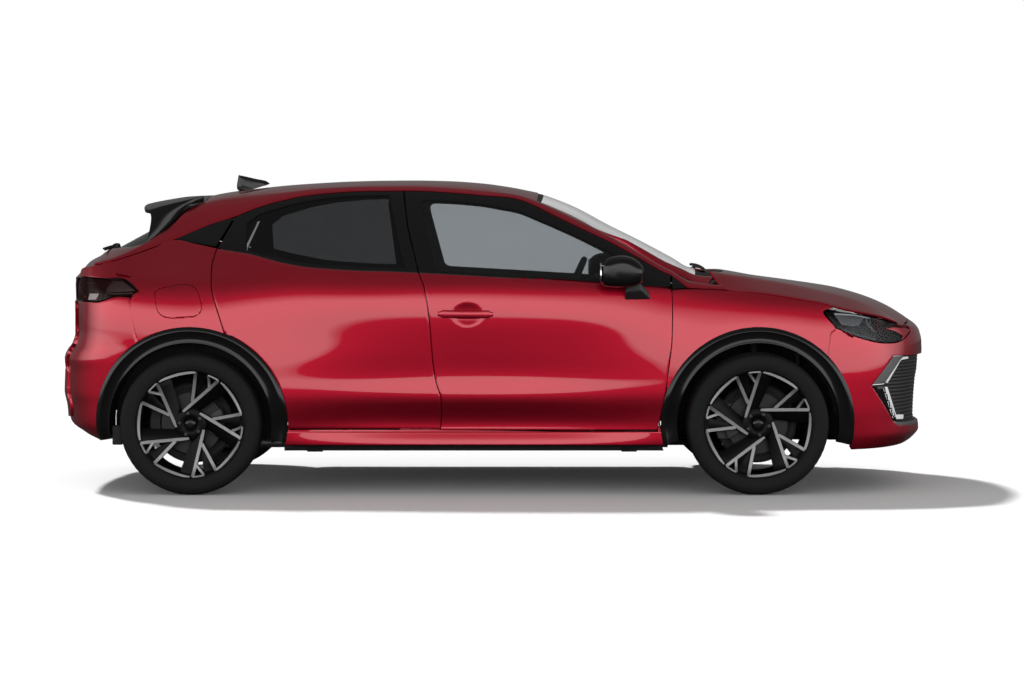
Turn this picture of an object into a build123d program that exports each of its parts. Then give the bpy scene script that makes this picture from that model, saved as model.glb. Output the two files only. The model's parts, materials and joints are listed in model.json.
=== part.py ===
from build123d import *
import math
import os
import numpy as np

os.makedirs("parts", exist_ok=True)

# A compact five-door hatchback, left-hand drive.  +X is forward, +Y is the car's left
# and +Z is up.  The origin is on the ground under the middle of the car's box.
front_end = 2058
rear_end = -2058
front_axle_x = 1207
rear_axle_x = -1384
wheel_z = 325
tyre_radius = 325
tyre_width = 212
wheel_y = 765
kingpin_y = 725
arch_inner = 370
arch_outer = 445
shut_gap = 7
door_depth = 55
panel_thickness = 12
glass_inset = 5
lamp_depth = 55
sill_z = 226
floor_z = 200
roof_z = 1600
side_start = -1500
side_end = 1450


# ---- the body's form: half widths, ends and top ----

def spline(stations, values):
    """A natural cubic through values at stations, for rows of numbers too."""
    x = np.array(stations, float)
    y = np.array(values, float)
    n = len(x)
    step = np.diff(x)
    matrix = np.eye(n)
    right = np.zeros_like(y)
    for i in range(1, n - 1):
        matrix[i, i - 1:i + 2] = step[i - 1], 2 * (step[i - 1] + step[i]), step[i]
        right[i] = 6 * ((y[i + 1] - y[i]) / step[i] - (y[i] - y[i - 1]) / step[i - 1])
    bend = np.linalg.solve(matrix, right)

    def value(at):
        i = int(np.clip(np.searchsorted(x, at) - 1, 0, n - 2))
        wide = x[i + 1] - x[i]
        p = (x[i + 1] - at) / wide
        q = (at - x[i]) / wide
        curve = (p ** 3 - p) * bend[i] + (q ** 3 - q) * bend[i + 1]
        return p * y[i] + q * y[i + 1] + curve * wide * wide / 6
    return value


def monotone(points):
    """A curve through (x, z) points that never overshoots them."""
    x = np.array([p[0] for p in points], float)
    z = np.array([p[1] for p in points], float)
    step = np.diff(x)
    slope = np.diff(z) / step
    tangent = np.zeros_like(z)
    tangent[0], tangent[-1] = slope[0], slope[-1]
    for i in range(1, len(x) - 1):
        if slope[i - 1] * slope[i] > 0:
            a = 2 * step[i] + step[i - 1]
            b = step[i] + 2 * step[i - 1]
            tangent[i] = (a + b) / (a / slope[i - 1] + b / slope[i])

    def value(at):
        i = int(np.clip(np.searchsorted(x, at) - 1, 0, len(x) - 2))
        t = min(max((at - x[i]) / step[i], 0), 1)
        return ((2 * t ** 3 - 3 * t ** 2 + 1) * z[i] + (t ** 3 - 2 * t ** 2 + t) * step[i] * tangent[i]
                + (3 * t ** 2 - 2 * t ** 3) * z[i + 1] + (t ** 3 - t ** 2) * step[i] * tangent[i + 1])
    return value


width_stations = [-1850, -1600, -1384, -1150, -900, -600, -250, 150, 500, 800, 1000, 1207, 1450, 1700]
width_rows = {
    150: [760, 790, 800, 810, 815, 820, 820, 820, 820, 820, 815, 810, 800, 780],
    230: [800, 830, 838, 846, 850, 848, 846, 846, 848, 850, 852, 850, 838, 812],
    300: [812, 844, 856, 862, 862, 856, 852, 852, 856, 862, 864, 862, 850, 824],
    380: [818, 852, 868, 874, 870, 858, 852, 853, 858, 868, 872, 870, 858, 832],
    440: [820, 855, 874, 880, 876, 865, 862, 862, 864, 874, 878, 876, 862, 836],
    520: [822, 858, 876, 880, 876, 864, 858, 858, 864, 876, 880, 878, 864, 838],
    620: [824, 860, 876, 878, 874, 866, 860, 860, 865, 874, 878, 877, 862, 834],
    720: [826, 860, 874, 874, 870, 868, 866, 866, 867, 869, 872, 873, 856, 824],
    820: [824, 856, 868, 868, 866, 868, 869, 869, 866, 858, 858, 860, 840, 800],
    900: [812, 842, 852, 856, 858, 862, 863, 862, 856, 842, 838, 834, 806, 755],
    960: [790, 818, 828, 836, 842, 846, 848, 846, 838, 820, 806, 790, 750, 690],
    1010: [760, 786, 796, 808, 818, 822, 823, 820, 808, 786, 764, 740, 690, 620],
    1100: [700, 722, 734, 752, 768, 776, 778, 772, 756, 728, 700, 665, 610, 540],
    1200: [625, 648, 664, 690, 712, 724, 728, 722, 700, 668, 636, 600, 540, 470],
    1300: [540, 565, 588, 622, 650, 668, 674, 668, 640, 602, 566, 526, 466, 396],
    1400: [440, 470, 500, 545, 580, 602, 610, 602, 570, 526, 486, 444, 384, 314],
    1500: [320, 356, 395, 450, 490, 516, 526, 516, 480, 432, 388, 344, 284, 214],
}
width_along = spline(width_stations, np.array(list(width_rows.values())).T)


def half_width(x, z):
    return float(spline(list(width_rows), width_along(x))(z))


front_face = monotone([(150, 1900), (200, 1960), (230, 2012), (270, 2044), (340, 2036), (490, 2044),
                       (560, 2055), (620, 2058), (680, 2057), (730, 2046), (770, 2024), (850, 1985),
                       (1000, 1900), (1500, 1700)])
rear_face = monotone([(150, -1760), (230, -1850), (270, -1960), (305, -2022), (400, -2038), (460, -2054),
                      (560, -2052), (607, -2058), (645, -2043), (685, -2008), (740, -1990), (860, -1986),
                      (960, -1996), (1060, -1990), (1200, -1940), (1500, -1700)])
top_line = monotone([(-2200, 1000), (-1987, 1056), (-1900, 1078), (-1850, 1108), (-1751, 1163), (-1600, 1246),
                     (-1430, 1341), (-1370, 1373), (-1307, 1389), (-1153, 1410), (-998, 1427), (-844, 1438),
                     (-689, 1446), (-535, 1450), (-380, 1451), (-226, 1448), (-71, 1438), (84, 1417),
                     (161, 1402), (238, 1385), (315, 1358), (393, 1325), (547, 1243), (702, 1166),
                     (856, 1084), (940, 1037), (1020, 1026), (1088, 1022), (1165, 1010), (1242, 996),
                     (1397, 975), (1551, 953), (1629, 940), (1706, 921), (1783, 897), (1860, 866),
                     (1938, 824), (2015, 767), (2200, 560)])
crown = monotone([(-2200, 50), (-1987, 55), (-1600, 88), (-1459, 76), (-1380, 50), (-1000, 48), (-380, 45),
                  (100, 55), (295, 76), (765, 84), (940, 60), (1050, 50), (1233, 38), (1505, 48), (2200, 60)])


def top_height(x, y):
    return top_line(x) - crown(x) * (abs(y) / 600) ** 2.2


def bezier(p0, p1, p2, p3, count):
    t = np.linspace(0, 1, count)[:, None]
    p0, p1, p2, p3 = (np.array(p, float) for p in (p0, p1, p2, p3))
    return (1 - t) ** 3 * p0 + 3 * (1 - t) ** 2 * t * p1 + 3 * (1 - t) * t * t * p2 + t ** 3 * p3


def plan_outline(z, inset):
    """Half of the body's outline at height z, from its rear centre round to its front centre."""
    rear, front = rear_face(z), front_face(z)
    w_rear, w_front = half_width(side_start, z), half_width(side_end, z)
    rear_slope = (half_width(side_start + 20, z) - w_rear) / 20
    front_slope = (w_front - half_width(side_end - 20, z)) / 20
    back = bezier((rear, 0), (rear, 0.74 * w_rear), (side_start - 410, w_rear - 410 * rear_slope),
                  (side_start, w_rear), 7)
    side = [(x, half_width(x, z)) for x in np.linspace(side_start, side_end, 10)[1:-1]]
    nose = bezier((side_end, w_front), (side_end + 380, w_front + 380 * front_slope),
                  (front, 0.65 * w_front), (front, 0), 7)
    outline = np.vstack([back, side, nose])
    ahead = np.gradient(outline, axis=0)
    ahead[0] = (0, 1)
    ahead[-1] = (0, -1)
    ahead /= np.linalg.norm(ahead, axis=1)[:, None]
    inward = np.stack([ahead[:, 1], -ahead[:, 0]], axis=1)
    return outline + inset * inward


reference = plan_outline(600, 0)
run = np.concatenate([[0], np.cumsum(np.linalg.norm(np.diff(reference, axis=0), axis=1))])
outline_length = float(run[-1])
outline_steps = [float(step) for step in run / run[-1]]
section_heights = [150, 200, 230, 270, 320, 380, 440, 520, 600, 680, 760, 840, 900, 960, 1010, 1100,
                   1200, 1300, 1400, 1500]
form_cache = {}


def form(inset):
    """The whole body as one solid, drawn in by inset all round."""
    if inset in form_cache:
        return form_cache[inset]
    sections = []
    for z in section_heights:
        half = plan_outline(z, inset)
        ends = [Vector(0, -outline_length, 0), Vector(0, outline_length, 0)]
        right = Edge.make_spline([Vector(x, -y, z) for x, y in half], tangents=ends,
                                 parameters=outline_steps, scale=False)
        left = Edge.make_spline([Vector(x, y, z) for x, y in half[::-1]], tangents=ends[::-1],
                                parameters=[1 - step for step in outline_steps[::-1]], scale=False)
        sections.append(Wire([right, left]))
    sides = Solid.make_loft(sections)
    top_grid = [[Vector(x, y, top_height(x, y) - inset) for y in np.linspace(-950, 950, 21)]
                for x in np.linspace(-2150, 2150, 87)]
    top = Face.make_surface_from_array_of_points(top_grid, tol=0.5, min_deg=3, max_deg=3)
    form_cache[inset] = sides & extrude(top, amount=1500, dir=(0, 0, -1))
    return form_cache[inset]


# ---- outlines in the side view, for the right side ----

def side_prism(points, y_low=-1000, y_high=0):
    """A slab across the car from a closed side-view outline of (x, z) points."""
    outline = Polyline([(x, y_low, z) for x, z in points], close=True)
    return extrude(make_face(outline), amount=y_high - y_low, dir=(0, 1, 0))


def arc_points(centre_x, radius, start, stop, count):
    """Points round a wheel's centre, with angles in degrees up from +X."""
    angles = np.radians(np.linspace(start, stop, count))
    return [(centre_x + radius * math.cos(a), wheel_z + radius * math.sin(a)) for a in angles]


front_shut = [(804, 928), (813, 860), (814, 797), (811, 700), (802, 620), (788, 520), (769, 432), (746, 287)]
middle_shut = [(-242, 300), (-239, 433), (-271, 558), (-291, 777), (-312, 933), (-344, 1017), (-396, 1225),
               (-420, 1401)]
front_roof_line = [(-202, 1393), (-64, 1381), (120, 1360), (295, 1278), (415, 1220), (530, 1165),
                   (650, 1098), (765, 1029)]
front_door_outline = front_shut + middle_shut + front_roof_line
rear_shut = [(-1178, 1265), (-1258, 1128), (-1291, 1038), (-1286, 943), (-1259, 850)]
rear_door_outline = (middle_shut + [(-507, 1401), (-660, 1398), (-813, 1386), (-927, 1369), (-1080, 1329)]
                     + rear_shut + arc_points(rear_axle_x, arch_outer + shut_gap, 68, -3, 12))
front_glass_outline = [(-300, 1029), (-252, 1026), (120, 1005), (470, 984), (672, 968),
                       (672, 1040), (650, 1062), (530, 1132), (415, 1187), (295, 1244), (120, 1322),
                       (-64, 1350), (-202, 1362), (-372, 1370), (-345, 1225)]
rear_glass_outline = [(-455, 1240), (-425, 1100), (-405, 1036), (-465, 1036), (-616, 1040), (-768, 1049),
                      (-881, 1060), (-1040, 1092), (-1140, 1118), (-1140, 1240), (-1080, 1285),
                      (-927, 1330), (-813, 1352), (-660, 1366), (-507, 1370), (-485, 1370)]
flap_outline = [(-1449, 961), (-1375, 961), (-1344, 928), (-1325, 860), (-1344, 819), (-1480, 808),
                (-1527, 829), (-1543, 902), (-1546, 938)]
hood_outline = [(1000, 1026), (1049, 936), (1233, 918), (1373, 896), (1505, 874), (1593, 844), (1700, 828),
                (1848, 791), (1990, 745), (2120, 745), (2120, 1200), (1000, 1200)]
lamp_outline = [(1505, 835), (1593, 836), (1700, 818), (1848, 781), (1960, 745), (1900, 705), (1856, 692),
                (1777, 694), (1690, 714), (1619, 738), (1557, 769)]
tail_lamp_outline = [(-1960, 975), (-1876, 990), (-1786, 985), (-1689, 984), (-1619, 928), (-1642, 909),
                     (-1727, 908), (-1804, 884), (-1888, 880), (-1990, 885), (-1990, 960)]
corner_outline = [(1846, 632), (1731, 497), (1846, 327), (1881, 302), (2100, 309), (2100, 626), (1951, 626)]


def shrink(points, amount):
    """The outline moved inward by amount (outward where negative)."""
    face = make_face(Polyline([(x, z) for x, z in points], close=True))
    moved = offset(face, amount=-amount, kind=Kind.INTERSECTION)
    return moved.faces()[0].outer_wire() if hasattr(moved, "faces") else moved.outer_wire()


def moved_prism(points, amount, y_low=-1000, y_high=0):
    wire = shrink(points, amount)
    edges = wire.order_edges()
    corners = [(edge.position_at(0).X, edge.position_at(0).Y) for edge in edges]
    return side_prism(corners, y_low, y_high)


def block(x0, x1, y0, y1, z0, z1):
    return Pos((x0 + x1) / 2, (y0 + y1) / 2, (z0 + z1) / 2) * Box(x1 - x0, y1 - y0, z1 - z0)


def rod(x, y0, y1, z, radius):
    """A cylinder along Y."""
    return Pos(x, (y0 + y1) / 2, z) * Rot(90, 0, 0) * Cylinder(radius, abs(y1 - y0))


def post(x, y, z0, z1, radius):
    return Pos(x, y, (z0 + z1) / 2) * Cylinder(radius, z1 - z0)


def both_sides(shape):
    return [shape, mirror(shape, Plane.XZ)]


def save(name, *shapes):
    solids = []
    for shape in shapes:
        solids += list(shape.solids())
    export_step(solids[0] if len(solids) == 1 else Compound(children=solids), f"parts/{name}.step")


# ---- the skins: outer panel, the wall behind it and the pillar behind that ----

right_half = block(-2200, 2200, -1000, 0, 100, roof_z)
half_cache = {}


def half_form(inset):
    if inset not in half_cache:
        half_cache[inset] = form(inset) & right_half
    return half_cache[inset]


outer_skin = half_form(0) - half_form(panel_thickness)
deep_skin = half_form(panel_thickness) - half_form(door_depth)
whole_wall = half_form(0) - half_form(door_depth)
arch_fill = [rod(x, -1000, -470, wheel_z, arch_outer + 2) for x in (front_axle_x, rear_axle_x)]


# ---- doors ----

def plan_prism(points, z_low=600, z_high=1600):
    """A solid over the right half from plan-view (x, y) points, y measured outward."""
    outline = Polyline([(x, -y, z_low) for x, y in points], close=True)
    return extrude(make_face(outline), amount=z_high - z_low, dir=(0, 0, 1))


door_inner_plan = [(-1500, 0), (-1500, 545), (-400, 550), (0, 552), (120, 566), (300, 590), (530, 630),
                   (765, 698), (830, 720), (830, 0)]


def make_door(side_outline, glass_outline, sill_line):
    inner = moved_prism(side_outline, 14) & deep_skin
    outer = moved_prism(side_outline, shut_gap / 2) & outer_skin
    door = outer + inner - side_prism(glass_outline) - plan_prism(door_inner_plan)
    return (door - block(-1500, 1500, -1000, 0, 0, sill_line)).solids().sort_by(SortBy.VOLUME)[-1]


def make_glass(glass_outline):
    pane = (half_form(glass_inset) & moved_prism(glass_outline, 1)) - half_form(panel_thickness)
    return pane.solids()[0]


front_door = make_door(front_door_outline, front_glass_outline, 296)
rear_door = make_door(rear_door_outline, rear_glass_outline, 302)
front_glass = make_glass(front_glass_outline)
rear_glass = make_glass(rear_glass_outline)
for name, shape in (("door_front", front_door), ("door_rear", rear_door),
                    ("door_glass_front", front_glass), ("door_glass_rear", rear_glass)):
    for side, solid in zip(("right", "left"), both_sides(shape)):
        save(f"{name}_{side}", solid)

mirror_outline = [(471, 1029), (540, 1086), (605, 1096), (655, 1050), (684, 1009), (600, 966), (494, 952)]
mirror_head = side_prism(mirror_outline, -990, -866)
mirror_arm_outline = [(592, 990), (640, 990), (722, 912), (716, 869), (600, 869)]
mirror_arm = side_prism(mirror_arm_outline, -900, -800) - half_form(0)
mirror_piece = mirror_head + mirror_arm.solids().sort_by(SortBy.VOLUME)[-1]


def moved_plan(points, amount, z_low=600, z_high=1600):
    """plan_prism with its outline moved inward by amount (outward where negative)."""
    edges = shrink(points, amount).order_edges()
    return plan_prism([(edge.position_at(0).X, edge.position_at(0).Y) for edge in edges], z_low, z_high)


def end_prism(points, x_low, x_high):
    """A solid along the right half from end-view (y, z) points, y measured outward."""
    outline = Polyline([(x_low, -y, z) for y, z in points], close=True)
    return extrude(make_face(outline), amount=x_high - x_low, dir=(1, 0, 0))


def whole(right):
    """Right half and its mirror image as one solid."""
    return right + mirror(right, Plane.XZ)


screen_plan = [(232, -30), (228, 300), (215, 500), (560, 565), (872, 655), (925, 610), (952, 400), (962, 0),
               (962, -30)]
roof_plan = [(-1343, -30), (-1343, 520), (198, 522), (211, 300), (215, -30)]
front_pane_outline = [(811, 938), (886, 942), (811, 1000)]
rear_pane_outline = [(-1187, 1262), (-1264, 1128), (-1290, 1060), (-1436, 1168)]
rear_bumper_outline = [(-2200, 683), (-1960, 683), (-1960, 872), (-1888, 872), (-1804, 876), (-1720, 900),
                       (-1655, 900), (-1640, 780), (-1622, 700), (-1600, 600), (-1600, 100), (-2200, 100)]
tailgate_end = [(0, 690), (500, 690), (530, 760), (505, 880), (510, 985), (640, 1075), (705, 1113),
                (632, 1235), (562, 1317), (508, 1376), (508, 1460), (0, 1460)]
tailgate_inner = [(-1340, 1345), (-1380, 1322), (-1410, 1285), (-1460, 1225), (-1550, 1155), (-1650, 1090),
                  (-1720, 1040), (-1720, 600), (-1200, 600), (-1200, 1345)]
tailgate_glass_end = [(0, 1110), (560, 1104), (612, 1135), (560, 1232), (500, 1300), (0, 1322)]

# ---- body shell: sides, pillars, floor and wheel houses in one welded piece ----

shell = whole_wall
for outline in (front_door_outline, rear_door_outline):
    shell -= moved_prism(outline, -shut_gap / 2)
shell -= moved_plan(screen_plan, -3)
shell -= moved_plan(roof_plan, -3)
shell -= block(196, 240, -500, 0, 1200, 1500)
shell -= block(925, 1100, -718, 0, 900, 1200)
shell -= end_prism([(y + shut_gap if y else y, z - shut_gap if z < 700 else z) for y, z in tailgate_end],
                   -2200, -1343)
shell -= moved_prism(rear_bumper_outline, -shut_gap)
for outline in (front_pane_outline, rear_pane_outline):
    shell -= moved_prism(outline, -1)
shell -= moved_prism(tail_lamp_outline, -1)
shell -= moved_prism(flap_outline, -2)
shell -= side_prism([(809, 100), (809, 424), (770, 424), (770, 926), (809, 935), (985, 1024), (1006, 1200),
                     (2200, 1200), (2200, 100)])
shell -= side_prism([(900, 940), (1010, 1030), (1010, 1200), (985, 1200), (870, 1060)])
for fill in arch_fill:
    shell -= fill
shell -= block(-2200, 2200, -1000, 0, 0, sill_z)
b_pillar = half_form(75) & side_prism([(-430, 240), (-200, 240), (-250, 1000), (-350, 1392), (-500, 1392),
                                       (-440, 1000)])
b_pillar -= half_form(110)
floor = block(-960, 985, -795, 0, floor_z, floor_z + 22) - arch_fill[0]
boot_floor = block(-1890, -940, -570, 0, 400, 420)
heel_board = block(-960, -940, -795, 0, 210, 420) - arch_fill[1]
dash_wall = block(965, 985, -760, 0, 222, 900) - arch_fill[0]
chassis_leg = block(985, 1860, -465, -405, 430, 540)
sill_box = block(-930, 740, -800, -760, 220, 280)
for x in (620, -820):
    sill_box += block(x - 35, x + 35, -797, -763, 195, 225)


def wheel_house(axle_x, inner_y):
    outer = rod(axle_x, -828, inner_y, wheel_z, arch_inner + 12)
    inside = rod(axle_x, -900, inner_y - 8, wheel_z, arch_inner + 4)
    return (outer - inside) - block(-2200, 2200, -1000, 0, 0, 250)


houses = wheel_house(front_axle_x, -466) + wheel_house(rear_axle_x, -590)
houses = houses & half_form(panel_thickness)
arm_window = block(900, 1500, -520, -440, 0, 400) + block(-1700, -1000, -640, -540, 0, 430)
shell_right = shell + b_pillar + floor + boot_floor + heel_board + dash_wall + chassis_leg + sill_box
shell_right += houses - arm_window
shell_right = shell_right.solids().sort_by(SortBy.VOLUME)[-1]
save("body_shell", whole(shell_right))


# ---- outer panels and lamps ----

def thin(outline_solid, outer=0, inner=panel_thickness):
    return (half_form(outer) & outline_solid) - half_form(inner)


roof = thin(moved_plan(roof_plan, 2, 1250))
save("roof_panel", whole(roof))
screen = thin(plan_prism(screen_plan), glass_inset)
save("windscreen", whole(screen))

hood_plan = [(1005, 0), (1092, 0), (1085, 300), (1040, 600), (1003, 860), (1840, 860), (1850, 690),
             (1900, 560), (1962, 300), (1972, 0)]
hood = thin(side_prism(hood_outline)) & plan_prism(hood_plan)
save("hood", whole(hood))

front_zone = whole_wall - block(-2200, 809, -1000, 0, 0, 1600)
for fill in arch_fill:
    front_zone -= fill
front_zone -= block(-2200, 2200, -1000, 0, 0, 198)
fender = half_form(0) & side_prism(
    [(813, 930), (985, 1016), (1001, 1010), (1043, 931), (1230, 911), (1373, 889), (1505, 867), (1552, 850),
     (1500, 836), (1551, 766), (1526, 744), (1520, 560), (1300, 430), (770, 430), (783, 432), (809, 620),
     (821, 797), (812, 928)])
fender -= half_form(panel_thickness)
fender -= block(0, 2200, -720, 0, 900, 1200)
fender -= moved_prism(front_pane_outline, -2)
for fill in arch_fill:
    fender -= fill
save("fenders", *both_sides(fender.solids().sort_by(SortBy.VOLUME)[-1]))

lamp = thin(moved_prism(lamp_outline, 1), 0, lamp_depth) - block(0, 2200, -560, 0, 0, 1600)
save("headlamps", *both_sides(lamp.solids().sort_by(SortBy.VOLUME)[-1]))
front_bumper_outline = [(1530, 100), (1530, 744), (1558, 763), (1700, 830), (1848, 783), (1862, 790),
                        (2200, 790), (2200, 100)]
bumper = front_zone & side_prism(front_bumper_outline)
bumper -= moved_prism(lamp_outline, -1)
hood_space = [(1003, 0), (1003, 870), (1847, 870), (1857, 694), (1907, 565), (1969, 303), (1979, 0)]
bumper -= plan_prism(hood_space, 700)
bumper -= side_prism(corner_outline)
bumper -= block(1800, 2200, -520, 0, 650, 745)
bumper = bumper.solids().sort_by(SortBy.VOLUME)[-1]
save("front_bumper", whole(bumper))
grille = thin(moved_prism(corner_outline, 1), glass_inset, 40) - block(0, 1840, -420, 0, 0, 1600)
for k in range(5):
    grille -= block(1900, 2200, -400, 10, 350 + 50 * k, 382 + 50 * k)
upper_grille = thin(block(1800, 2200, -519, 0, 651, 744), 12, 40)
save("grille", whole(grille), whole(upper_grille))

rear_bumper = whole_wall & side_prism(rear_bumper_outline)
rear_bumper -= moved_prism(tail_lamp_outline, -1)
rear_bumper -= end_prism([(0, 684), (507, 684), (537, 760), (512, 890), (0, 890)], -2200, -1500)
rear_bumper -= arch_fill[1]
rear_bumper -= block(-2200, 0, -1000, 0, 0, 235)
rear_bumper = rear_bumper.solids().sort_by(SortBy.VOLUME)[-1]
save("rear_bumper", whole(rear_bumper))
tail_lamp = thin(moved_prism(tail_lamp_outline, 0), 0, 40) - block(-2200, 0, -515, 0, 0, 1600)
save("tail_lamps", *both_sides(tail_lamp.solids().sort_by(SortBy.VOLUME)[-1]))

# ---- tailgate, its glass, spoiler and wiper ----

gate_wall = (half_form(0) & end_prism(tailgate_end, -2200, -1350)) - half_form(40)
gate_wall -= end_prism(tailgate_glass_end, -2200, -1420)
gate_wall -= side_prism(tailgate_inner)
gate_wall = gate_wall.solids().sort_by(SortBy.VOLUME)[-1]
save("tailgate", whole(gate_wall))
gate_glass = thin(end_prism([(0, 1112), (558, 1106), (608, 1135), (558, 1229), (498, 1297), (0, 1318)],
                            -2200, -1425), glass_inset)
save("tailgate_glass", whole(gate_glass))
spoiler_line = monotone([(-1700, 1326), (-1664, 1340), (-1560, 1362), (-1462, 1376), (-1352, 1381),
                         (-1300, 1383)])
spoiler_drop = 46
spoiler_half = 560
spoiler_grid = [[Vector(x, y, spoiler_line(x) - spoiler_drop * (abs(y) / spoiler_half) ** 2.2)
                 for y in np.linspace(-640, 640, 13)] for x in np.linspace(-1690, -1330, 7)]
spoiler_top = Face.make_surface_from_array_of_points(spoiler_grid, tol=0.5, min_deg=3, max_deg=3)
lip_plan = [(-1352, -30), (-1352, 508), (-1420, 575), (-1520, 600), (-1600, 585), (-1640, 480), (-1662, 250),
            (-1666, 0), (-1666, -30)]
lip = extrude(spoiler_top, amount=75, dir=(0, 0, -1)) & plan_prism(lip_plan, 1150, 1450)
lip -= side_prism([(-1700, 1326), (-1664, 1327), (-1600, 1292), (-1560, 1230), (-1700, 1230)])
lip = (lip & right_half) - half_form(0)
blade_end = [(708, 1113), (634, 1235), (564, 1317), (508, 1376), (470, 1376), (505, 1290), (562, 1225),
             (615, 1140), (600, 1113)]
blade = (half_form(-12) & end_prism(blade_end, -2200, -1352)) - half_form(0)
spoiler = lip.solids().sort_by(SortBy.VOLUME)[-1] + blade.solids().sort_by(SortBy.VOLUME)[-1]
save("spoiler", whole(spoiler))
wiper = Pos(-1846, 0, 1128) * Box(60, 60, 40) + block(-1852, -1838, -380, 0, 1122, 1134)
save("rear_wiper", wiper - form(0))

# ---- roof fin, cowl with its wipers, arch trims, quarter panes, fuel flap ----

fin_side = [(-1090, 1440), (-1110, 1452), (-1243, 1480), (-1252, 1470), (-1240, 1380), (-1090, 1380)]
fin = side_prism(fin_side, -22, 22) - form(0)
save("roof_antenna", fin.solids().sort_by(SortBy.VOLUME)[-1])

cowl = thin(plan_prism([(990, 0), (998, 0), (1084, 0), (1078, 300), (1034, 600), (1008, 700), (975, 700),
                        (990, 400)]), 8, 30)
wiper_bars = block(1010, 1026, -560, -40, 1000, 1046) - half_form(8)
save("cowl_panel", whole(cowl + wiper_bars))

trims = []
for axle_x, low in ((front_axle_x, 232), (rear_axle_x, 240)):
    ring = rod(axle_x, -1000, -700, wheel_z, arch_outer) - rod(axle_x, -1001, -699, wheel_z, arch_inner)
    trim = (half_form(-4) & ring) - half_form(panel_thickness)
    trim -= block(-2200, 2200, -1000, 0, 0, low)
    trims.append(trim.solids().sort_by(SortBy.VOLUME)[-1])
save("arch_trims", *both_sides(trims[0]), *both_sides(trims[1]))

pane_front = thin(side_prism(front_pane_outline), glass_inset)
pane_rear = thin(side_prism(rear_pane_outline), glass_inset)
flap = thin(moved_prism(flap_outline, 1.5))
save("fuel_flap", flap)


# ---- wheels, axles and steering ----

def turned(profile):
    """A solid turned about the Y axis at the origin from (radius, y) points."""
    outline = Polyline([(r, y, 0) for r, y in profile], close=True)
    return revolve(make_face(outline), axis=Axis.Y)


bore = 20.05
tyre_profile = [(246, -98), (262, -105), (285, -107), (305, -103), (318, -95), (325, -80), (325, 80),
                (318, 95), (305, 103), (285, 107), (262, 105), (246, 98), (232, 90), (232, -90)]
tyre = turned(tyre_profile)
rim_barrel = turned([(248, -104), (231, -97), (231, 97), (248, 104), (246, 107), (222, 99), (222, -90),
                     (228, -106), (246, -109)])
tyre -= rim_barrel
hub_disc = turned([(bore, -70), (72, -70), (72, -30), (bore, -30)])
spokes = []
for k in range(5):
    turn = math.radians(72 * k)

    def spoke_point(angle, radius):
        a = turn + math.radians(angle)
        return (radius * math.cos(a), 0, radius * math.sin(a))
    corner, joint, hub, tip = (83.4, 227), (85, 100), (122, 60), (57, 227)
    for start, stop, wide in ((corner, joint, 24), (hub, tip, 30)):
        a, b = Vector(*spoke_point(*start)), Vector(*spoke_point(*stop))
        middle = (a + b) * 0.5
        run = b - a
        bar = Box(run.length, 36, wide)
        turn_y = -math.degrees(math.atan2(run.Z, run.X))
        spokes.append(Pos(middle.X, -72, middle.Z) * Rot(0, turn_y, 0) * bar)
rim = rim_barrel + hub_disc
for spoke in spokes:
    rim += spoke & turned([(0, -100), (228, -100), (228, 0), (0, 0)])
rim -= turned([(0, -200), (bore, -200), (bore, 200), (0, 200)])
disc = turned([(bore, -30), (60, -30), (60, -14), (140, -14), (140, 8), (45, 8), (45, -8), (bore, -8)])

for name, axle_x in (("front", front_axle_x), ("rear", rear_axle_x)):
    place = Pos(axle_x, -wheel_y, wheel_z)
    for part_name, shape in (("tyre", tyre), ("rim", rim), ("brake_disc", disc)):
        for side, solid in zip(("right", "left"), both_sides(place * shape)):
            save(f"{part_name}_{name}_{side}", solid)


def stub(axle_x, inner):
    """The upright behind a wheel with its spindle and brake caliper, on the right."""
    upright = block(axle_x - 55, axle_x + 55, -735, inner, wheel_z - 80, wheel_z + 80)
    spindle = rod(axle_x, -825, inner, wheel_z, 20)
    caliper = rod(axle_x, -785, -735, wheel_z, 190) - rod(axle_x, -800, -700, wheel_z, 146)
    caliper = caliper & block(axle_x - 200, axle_x - 90, -800, -700, wheel_z - 70, wheel_z + 90)
    caliper_foot = block(axle_x - 190, axle_x, -751, -720, wheel_z - 40, wheel_z + 60)
    return upright + spindle + caliper + (caliper_foot - rod(axle_x, -800, -752, wheel_z, 200))


knuckle = stub(front_axle_x, -690)
knuckle -= post(front_axle_x, -kingpin_y, wheel_z - 90, wheel_z - 50, 12.05)
knuckle -= post(front_axle_x, -kingpin_y, wheel_z + 50, wheel_z + 90, 12.05)
for side, solid in zip(("right", "left"), both_sides(knuckle)):
    save(f"knuckle_front_{side}", solid)

low_arm = block(front_axle_x - 25, front_axle_x + 25, -745, -380, wheel_z - 110, wheel_z - 86)
low_pin = post(front_axle_x, -kingpin_y, wheel_z - 100, wheel_z - 55, 12)
high_arm = block(front_axle_x - 25, front_axle_x + 25, -745, -600, wheel_z + 86, wheel_z + 106)
high_pin = post(front_axle_x, -kingpin_y, wheel_z + 55, wheel_z + 100, 12)
strut = post(front_axle_x, -588, wheel_z + 86, 690, 22)
strut_foot = block(front_axle_x - 25, front_axle_x + 25, -640, -560, wheel_z + 86, wheel_z + 106)
tie = block(front_axle_x - 25, front_axle_x + 25, -600, -570, wheel_z - 110, wheel_z + 106)
cross_member = block(front_axle_x - 120, front_axle_x + 60, -385, 0, wheel_z - 115, wheel_z - 75)
front_right = low_arm + low_pin + high_arm + high_pin + strut + strut_foot + tie + cross_member
save("front_suspension", whole(front_right))

beam = rod(rear_axle_x + 230, -540, 0, 300, 45)
trailing_arm = block(rear_axle_x - 50, -975, -580, -530, 290, 350)
hub_plate = stub(rear_axle_x, -575)
rear_right = beam + trailing_arm + hub_plate
save("rear_axle", whole(rear_right))

# ---- cabin, engine and exhaust ----

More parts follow.
